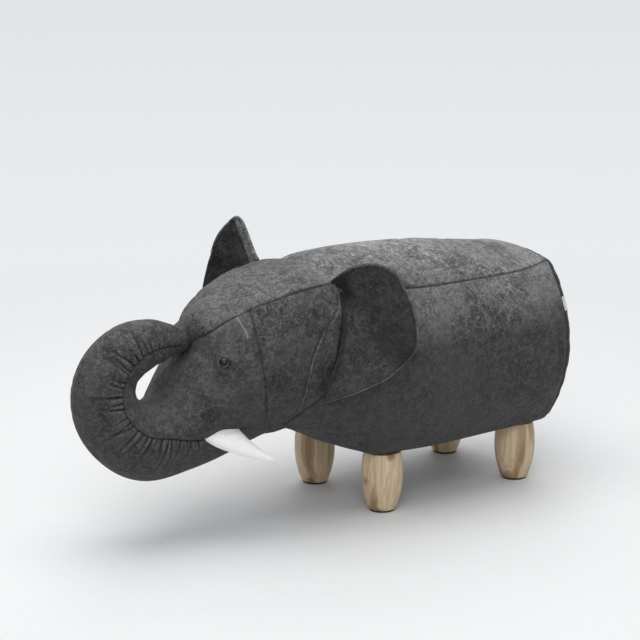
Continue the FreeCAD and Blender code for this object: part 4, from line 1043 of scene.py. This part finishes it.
def build_ear(side, settings):
    """One ear: two layers sewn round the rim, cupped forwards, with top stitching and a pleat at its root."""
    form, size = EARS[side], np.array([EARS[side].reach, EAR_HEIGHT])
    turn = math.radians(form.angle)
    way = np.array([math.cos(turn), math.sin(turn), 0])
    front = np.array([math.sin(turn), -math.cos(turn), 0])
    outline = spline(EAR_OUTLINE_SHARES[side], np.linspace(0, 1, EAR_SPOKES, endpoint=False))
    hub = np.array(EAR_HUB_SHARES)
    shares = np.linspace(1, .03, EAR_RINGS) ** .8
    plan = hub + (outline - hub)[None] * shares[:, None, None]
    share, up = plan[..., 0], plan[..., 1]
    root, facing = ear_root(EAR_FOOT + up * EAR_HEIGHT)
    root[..., 0] += (1.0 + 2.8 * abs(math.sin(turn))) / np.maximum(facing, .45)
    hollow = form.cup * np.sin(math.pi * np.clip(share, 0, 1)) * np.clip((up + .02) / .3, .1, 1)
    # the top curls forwards over the hollow, and a soft crease runs from the root's top to the rim
    line = (up - .93) + .47 * share
    curl = np.clip(line, 0, 1) ** 1.15 * form.curl + np.clip(-line, 0, 1) * form.lean
    pleat = form.pleat_share * bell(share - .05, .09) * bell(up - 1.0 + .5 * (share - .05), .08)
    crease = bell(line, .075) * np.clip(1.10 - share, 0, 1) * form.crease + 3.0 * pleat
    middle = root + way * (share * form.reach)[..., None] + front * (curl - hollow - crease)[..., None]
    normal = grid_normals(middle)
    if (normal @ front).mean() < 0:
        normal = -normal

    # thickness, with the stitching near the rim
    inward = (1 - shares)[:, None] * norm((outline - hub) * size)[None]
    free = np.clip(share / .10, 0, 1)
    stitched = bell(inward - settings.stitch / MM, .7)
    swell = settings.thickness / MM / 2 * np.sqrt(np.clip(1 - (1 - np.clip(inward / 3.2, 0, 1)) ** 2, 0, 1))
    swell = swell + free * (.3 * bell(inward - 2.0, 1.4) - .55 * stitched)
    swell = np.maximum(swell + .25 * smooth_noise(middle / 14.0, form.seed), 0)
    swell[0] = 0

    # dark places: the stitches, and painted shade at the root, in the pleat, in the dip under the curl and on
    # the upper lobe; the rim is lighter where it is worn
    stretch = norm(np.diff(outline * size, axis=0, append=outline[:1] * size))
    thread = .5 + .5 * np.sin(np.cumsum(stretch) * math.tau / STITCH_LENGTH)
    valley_shade = bell(line + .15, .16) * rise(share, .12, .4) + .3 * np.clip(line / .12, 0, 1)
    fold = .75 * stitched * free * (.45 + .55 * thread)[None]
    fold = fold + .8 * bell(share, .035) + 1.5 * pleat + form.valley_share * valley_shade
    fold = np.clip(fold + form.root_share * bell(share, .13) * rise(up, .76, .1), 0, 1)
    light_and_wear = free * .45 * bell(inward - .6, 1.1)
    if side == "right":
        # the far ear's inner edge is folded over and sewn down
        strip = spline(FOLDED_EDGE_SHARES + FOLDED_BACK_SHARES, np.linspace(0, .55, 40))
        gap = norm((plan[:, :, None] - strip) * size).min(axis=-1)
        fold = np.clip(fold + .7 * bell(gap, .9), 0, 1)
        swell = np.maximum(swell - bell(gap, 1.2), 0)
        # painted light on the folded-over strip near the top
        within = look_up([(high, far) for far, high in FOLDED_EDGE_SHARES[::-1]], up) - share
        light_and_wear = light_and_wear + .55 * np.clip(within / .05, 0, 1) * rise(up, .86, .1)
    mirror = MIRROR if side == "right" else 1
    upper, lower = ((middle + normal * swell[..., None] * sign) * mirror for sign in (1, -1))

    hubs = [upper[-1].mean(axis=0), lower[-1].mean(axis=0)]
    points = np.concatenate([upper.reshape(-1, 3), lower[1:].reshape(-1, 3), hubs])
    base, ends = EAR_RINGS * EAR_SPOKES, len(points) - len(hubs)
    faces = grid_faces(EAR_RINGS, EAR_SPOKES).tolist()
    for number in range(EAR_RINGS - 1):
        inner = base + number * EAR_SPOKES
        outer = inner - EAR_SPOKES if number else 0
        faces += [[a, d, c, b] for a, b, c, d in band(outer, inner, EAR_SPOKES)]
    faces += fan(base - EAR_SPOKES, ends, EAR_SPOKES, True) + fan(ends - EAR_SPOKES, ends + 1, EAR_SPOKES)
    # both layers carry the stitches and painted shade, and the worn rim and painted light
    marks = {key: np.concatenate([values.ravel(), values[1:].ravel(), [0, 0]])
             for key, values in (("fold", fold), ("light_and_wear", light_and_wear))}
    return mesh_object("ear_" + side + "_flap", points, faces, marks)


# ---- tusks
TUSK_LENGTH, TUSK_HALF_WIDTH, TUSK_HALF_DEPTH, TUSK_BOW = 72.0, 27.0, 12.0, 8.5
TUSK_STEPS, TUSK_SPOKES = 64, 72
TUSK_WAY = (.60, .62, -.46)
# share of the length, share of the half width or half depth
TUSK_WIDTH_SHARES = ((0, 1.0), (.14, .97), (.35, .82), (.55, .63), (.72, .46), (.88, .29), (.96, .19),
                     (1, .05))
TUSK_DEPTH_SHARES = ((0, .62), (.1, .85), (.3, 1.0), (.6, .8), (.85, .45), (.95, .30), (1, .06))
# where its middle stands on the low seam, from the eye to the trunk's root, and how much of it is sunk in
TUSK_PLACE_SHARE, TUSK_SUNK_SHARE = .53, .16


def build_tusk(side):
    """A stuffed horn, bowed forwards: a wide root along the low seam, two sewn edges and a blunt tip."""
    eye, root = rings(body_rows(), np.array([EYE_ROW, TRUNK_ROOT], float))[:, LOW_LEFT]
    start = eye + TUSK_PLACE_SHARE * (root - eye)
    wide, way = unit(root - eye), unit(np.array(TUSK_WAY))
    deep = unit(np.cross(way, wide))
    t = np.linspace(0, 1, TUSK_STEPS)
    angle = np.linspace(0, math.tau, TUSK_SPOKES, endpoint=False)
    half_wide = TUSK_HALF_WIDTH * look_up(TUSK_WIDTH_SHARES, t)
    half_deep = TUSK_HALF_DEPTH * look_up(TUSK_DEPTH_SHARES, t)
    bow = TUSK_BOW * np.sin(math.pi * t ** .9)
    out = TUSK_LENGTH * ((1 + TUSK_SUNK_SHARE) * t - TUSK_SUNK_SHARE)
    centre = start + way * out[:, None] + wide * bow[:, None]
    edge = bell(np.sin(angle), .10)
    points = (centre[:, None] + wide * (half_wide[:, None] * np.cos(angle) * (1 - .03 * edge))[..., None]
              + deep * (half_deep[:, None] * np.sin(angle))[..., None])
    points = points + .3 * smooth_noise(points / 10.0, 31)[..., None] * deep
    if side == "right":
        points = points * MIRROR
    faces = grid_faces(TUSK_STEPS, TUSK_SPOKES).tolist()
    faces.append(list(range(TUSK_SPOKES)))
    faces.append([(TUSK_STEPS - 1) * TUSK_SPOKES + j for j in range(TUSK_SPOKES)][::-1])
    shade = np.broadcast_to(edge[None] * .5, points.shape[:2])
    return mesh_object("tusk_" + side + "_horn", points.reshape(-1, 3), faces, {"fold": shade.ravel()})


# ---- cloth under the base
CLOTH_COUNTS, CLOTH_EDGE, CLOTH_SAG, CLOTH_WAVE = (70, 106), 30, .25, .22


def build_dust_cloth():
    """The black cloth under the base, drawn tight at its staples and slack between them."""
    lowest, highest = (np.array(corner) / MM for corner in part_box("dust_cover"))
    spans = (np.linspace(*ends) for ends in zip(lowest, highest, CLOTH_COUNTS))
    x, y = np.meshgrid(*spans, indexing="ij")
    edge = np.minimum(np.minimum(x - lowest[0], highest[0] - x), np.minimum(y - lowest[1], highest[1] - y))
    slack = np.clip(edge / CLOTH_EDGE, 0, 1)
    wave = smooth_noise(np.stack([x, y, 0 * x], -1) / 16.0, 41)
    z = .5 * (lowest[2] + highest[2]) - CLOTH_SAG * slack + CLOTH_WAVE * slack * wave
    points = np.stack([x, y, z], -1).reshape(-1, 3)
    return mesh_object("dust_cloth", points, grid_faces(*x.shape, False).tolist()), highest - lowest


# ---- stage
FLOOR_MIDDLE, FLOOR_REACHES, FLOOR_SPOKES = 150, (700, 2000, 14000), 64
SKY_COLOUR, SKY_STRENGTH = (.96, .98, 1.0), .42
# name, place, size, power, tint
LIGHTS = (
    ("key", (.0, -.2, 2.5), 2.6, 43, (1, .99, .97)),
    ("side", (2.0, -1.6, 2.0), 1.5, 21, (.98, .99, 1)),
    ("back", (-1.6, 1.4, 2.0), 2.0, 12, (1, 1, 1)),
)
LIGHTS_AIM = (0, .1, .2)
CAMERA_PLACE, CAMERA_AZIMUTH, CAMERA_DOWN = (2.3145, -1.7077, .9759), 53.25, 13.96
CAMERA_SENSOR, CAMERA_LENS = 36, 123.75


def build_floor():
    """A flat disc under the object, in rings."""
    points, faces = [(0, FLOOR_MIDDLE, 0)], fan(1, 0, FLOOR_SPOKES)
    for reach in FLOOR_REACHES:
        for turn in np.arange(FLOOR_SPOKES) * math.tau / FLOOR_SPOKES:
            points.append((reach * math.cos(turn), FLOOR_MIDDLE + reach * math.sin(turn), 0))
    for ring in range(len(FLOOR_REACHES) - 1):
        first = 1 + ring * FLOOR_SPOKES
        faces += band(first, first + FLOOR_SPOKES, FLOOR_SPOKES)
    return mesh_object("floor", points, faces)


def light_world(scene, settings):
    """Soft light from all round, while the camera sees the backdrop's colour."""
    scene.world = scene.world or bpy.data.worlds.new("studio")
    scene.world.use_nodes = True
    tree = scene.world.node_tree
    light = tree.nodes["Background"]
    for socket, value in zip(light.inputs, (SKY_COLOUR, SKY_STRENGTH)):
        feed(tree, socket, value)
    paper = add(tree, "ShaderNodeBackground", {0: settings.backdrop, 1: 1.0})
    mix_shaders(tree, seen_directly(tree), light, paper, "World Output")


def place_object(scene, name, data, place, turn):
    thing = bpy.data.objects.new(name, data)
    thing.location = place
    thing.rotation_mode = "QUATERNION"
    thing.rotation_quaternion = turn
    scene.collection.objects.link(thing)
    return thing


def place_lights(scene):
    for name, place, size, power, tint in LIGHTS:
        data = bpy.data.lights.new(name, "AREA")
        data.shape, data.size, data.energy, data.color = "DISK", size, power, tint
        toward = Vector(LIGHTS_AIM) - Vector(place)
        place_object(scene, name, data, place, toward.to_track_quat("-Z", "Y"))


def place_camera(scene):
    data = bpy.data.cameras.new("camera")
    data.sensor_width, data.lens = CAMERA_SENSOR, CAMERA_LENS
    azimuth, down = math.radians(CAMERA_AZIMUTH), math.radians(CAMERA_DOWN)
    back = Vector((math.sin(azimuth) * math.cos(down), -math.cos(azimuth) * math.cos(down), math.sin(down)))
    scene.camera = place_object(scene, "camera", data, CAMERA_PLACE, back.to_track_quat("Z", "Y"))


# ---- operators
class FOOTSTOOL_OT_stage(bpy.types.Operator):
    """Makes the floor, the soft light and the camera"""
    bl_idname = "footstool.stage"
    bl_label = "Stage"

    def execute(self, context):
        settings = context.scene.footstool_stage
        floor = build_floor()
        give(floor, floor_material(settings))
        light_world(context.scene, settings)
        place_lights(context.scene)
        place_camera(context.scene)
        context.scene.view_settings.view_transform = "Standard"
        return {"FINISHED"}


class FOOTSTOOL_OT_cover(bpy.types.Operator):
    """Makes the stuffed cover of body, head and trunk"""
    bl_idname = "footstool.cover"
    bl_label = "Cover"

    def execute(self, context):
        settings = context.scene.footstool_cover
        skin = build_cover(settings)
        give(skin, cover_material(settings))
        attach(skin, "stool")
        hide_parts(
            "cover_top", "cover_rear", "cover_chin", "trunk_inner_strip",
            "cover_side_left", "cover_side_right", "cover_neck_left", "cover_neck_right",
            "cover_cheek_left", "cover_cheek_right", "cover_face_left", "cover_face_right",
            "seat_foam", "side_foam_left", "side_foam_right", "rear_foam", "chest_foam",
            "head_filling", "trunk_filling", "hem_strip")
        return {"FINISHED"}


class FOOTSTOOL_OT_ears(bpy.types.Operator):
    """Makes the two flap ears"""
    bl_idname = "footstool.ears"
    bl_label = "Ears"

    def execute(self, context):
        for side, start, end in (("left", (.106, -.030, .25), (.114, -.019, .25)),
                                 ("right", (-.105, -.027, .25), (-.117, -.032, .25))):
            ear = build_ear(side, context.scene.footstool_ear)
            give(ear, cover_material(context.scene.footstool_cover))
            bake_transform(ear)
            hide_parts("ear_front_" + side, "ear_back_" + side)
        return {"FINISHED"}


class FOOTSTOOL_OT_tusks(bpy.types.Operator):
    """Makes the two stuffed tusks"""
    bl_idname = "footstool.tusks"
    bl_label = "Tusks"

    def execute(self, context):
        settings = context.scene.footstool_tusk
        finish = plain_material("tusk_cloth", settings.colour, settings.shade, .62, scale=420.0, bump=.12,
                                shader={"Sheen Weight": .1, "Sheen Roughness": .4})
        for side in SIDES:
            tusk = build_tusk(side)
            give(tusk, finish)
            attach(tusk, "stool")
            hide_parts("tusk_" + side)
        return {"FINISHED"}


class FOOTSTOOL_OT_eyes(bpy.types.Operator):
    """Finishes the button eyes, their washers and the tag"""
    bl_idname = "footstool.eyes"
    bl_label = "Eyes and tag"

    def execute(self, context):
        points = rings(body_rows(), np.linspace(EYE_ROW - 1, EYE_ROW + 1.5, 120))
        out = grid_normals(points).reshape(-1, 3)
        for side in SIDES:
            centre = eye_centre(side)
            nearest = norm(points.reshape(-1, 3) - centre).argmin()
            dress(eye_material("eye_" + side + "_plastic", centre * MM, out[nearest]), "eye_" + side)
        dress(plain_material("eye_washer_moulding", (.05, .05, .05), (.07, .07, .07), .45), "eye_washers")
        tape = plain_material("label_tape", (.90, .90, .89), (.82, .82, .81), .7, scale=900.0, bump=.4)
        dress(tape, "side_label")
        return {"FINISHED"}


class FOOTSTOOL_OT_legs(bpy.types.Operator):
    """Finishes the legs, pads, bolts and washers"""
    bl_idname = "footstool.legs"
    bl_label = "Legs"

    def execute(self, context):
        settings = context.scene.footstool_wood
        leg = wood_material("turned_leg_wood", settings.pale, settings.brown, (1, 1, .10), .8)
        pad = plain_material("foot_rubber", (.012, .012, .012), (.022, .022, .022), .7, scale=700.0)
        steel = plain_material("zinc_steel", (.42, .42, .43), (.52, .52, .53), .28, scale=900.0, bump=.1,
                               shader={"Metallic": 1.0})
        for name in LEGS:
            dress(leg, "leg_" + name)
            dress(pad, "leg_pad_" + name)
            dress(steel, "hanger_bolt_" + name, "leg_washer_" + name)
        dress(steel, "leg_nuts", "frame_screws", "cover_staples")
        return {"FINISHED"}


class FOOTSTOOL_OT_box(bpy.types.Operator):
    """Finishes the wooden box and the cloth under it"""
    bl_idname = "footstool.box"
    bl_label = "Box"

    def execute(self, context):
        settings = context.scene.footstool_wood
        veneer = wood_material("plywood_veneer", settings.plywood, settings.brown, (1, .10, 1), .25)
        batten = wood_material("softwood_batten", settings.pale, settings.brown, (1, 1, .08), .2)
        dress(veneer, "seat_board", "base_panel", "frame_side_left", "frame_side_right", "frame_front",
              "frame_rear")
        dress(batten, "corner_posts")
        cloth, spans = build_dust_cloth()
        finish = plain_material("underside_cloth", (.012, .012, .013), (.026, .026, .028), .8,
                                scale=1100.0, bump=.5)
        give(cloth, finish)
        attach(cloth, "stool")
        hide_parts("dust_cover")
        return {"FINISHED"}


class FOOTSTOOL_PT_panel(bpy.types.Panel):
    """Settings and steps of the footstool"""
    bl_idname = "FOOTSTOOL_PT_panel"
    bl_label = "Footstool"
    bl_space_type = "VIEW_3D"
    bl_region_type = "UI"
    bl_category = "Footstool"

    def draw(self, context):
        for kind in OPERATORS:
            self.layout.operator(kind.bl_idname)
        for key, kind in GROUPS.items():
            for name in kind.__annotations__:
                self.layout.prop(getattr(context.scene, key), name)


OPERATORS = (FOOTSTOOL_OT_stage, FOOTSTOOL_OT_cover, FOOTSTOOL_OT_ears, FOOTSTOOL_OT_tusks, FOOTSTOOL_OT_eyes,
             FOOTSTOOL_OT_legs, FOOTSTOOL_OT_box)
GROUPS = {
    "footstool_cover": FootstoolCover, "footstool_ear": FootstoolEar, "footstool_tusk": FootstoolTusk,
    "footstool_wood": FootstoolWood, "footstool_stage": FootstoolStage,
}


def register():
    for key, kind in GROUPS.items():
        bpy.utils.register_class(kind)
        setattr(bpy.types.Scene, key, bpy.props.PointerProperty(type=kind))
    for kind in (*OPERATORS, FOOTSTOOL_PT_panel):
        bpy.utils.register_class(kind)


def unregister():
    for kind in (FOOTSTOOL_PT_panel, *reversed(OPERATORS)):
        bpy.utils.unregister_class(kind)
    for key, kind in reversed(GROUPS.items()):
        delattr(bpy.types.Scene, key)
        bpy.utils.unregister_class(kind)


def main():
    register()
    for kind in OPERATORS:
        group, name = kind.bl_idname.split(".")
        getattr(getattr(bpy.ops, group), name)()


if __name__ == "__main__":
    main()
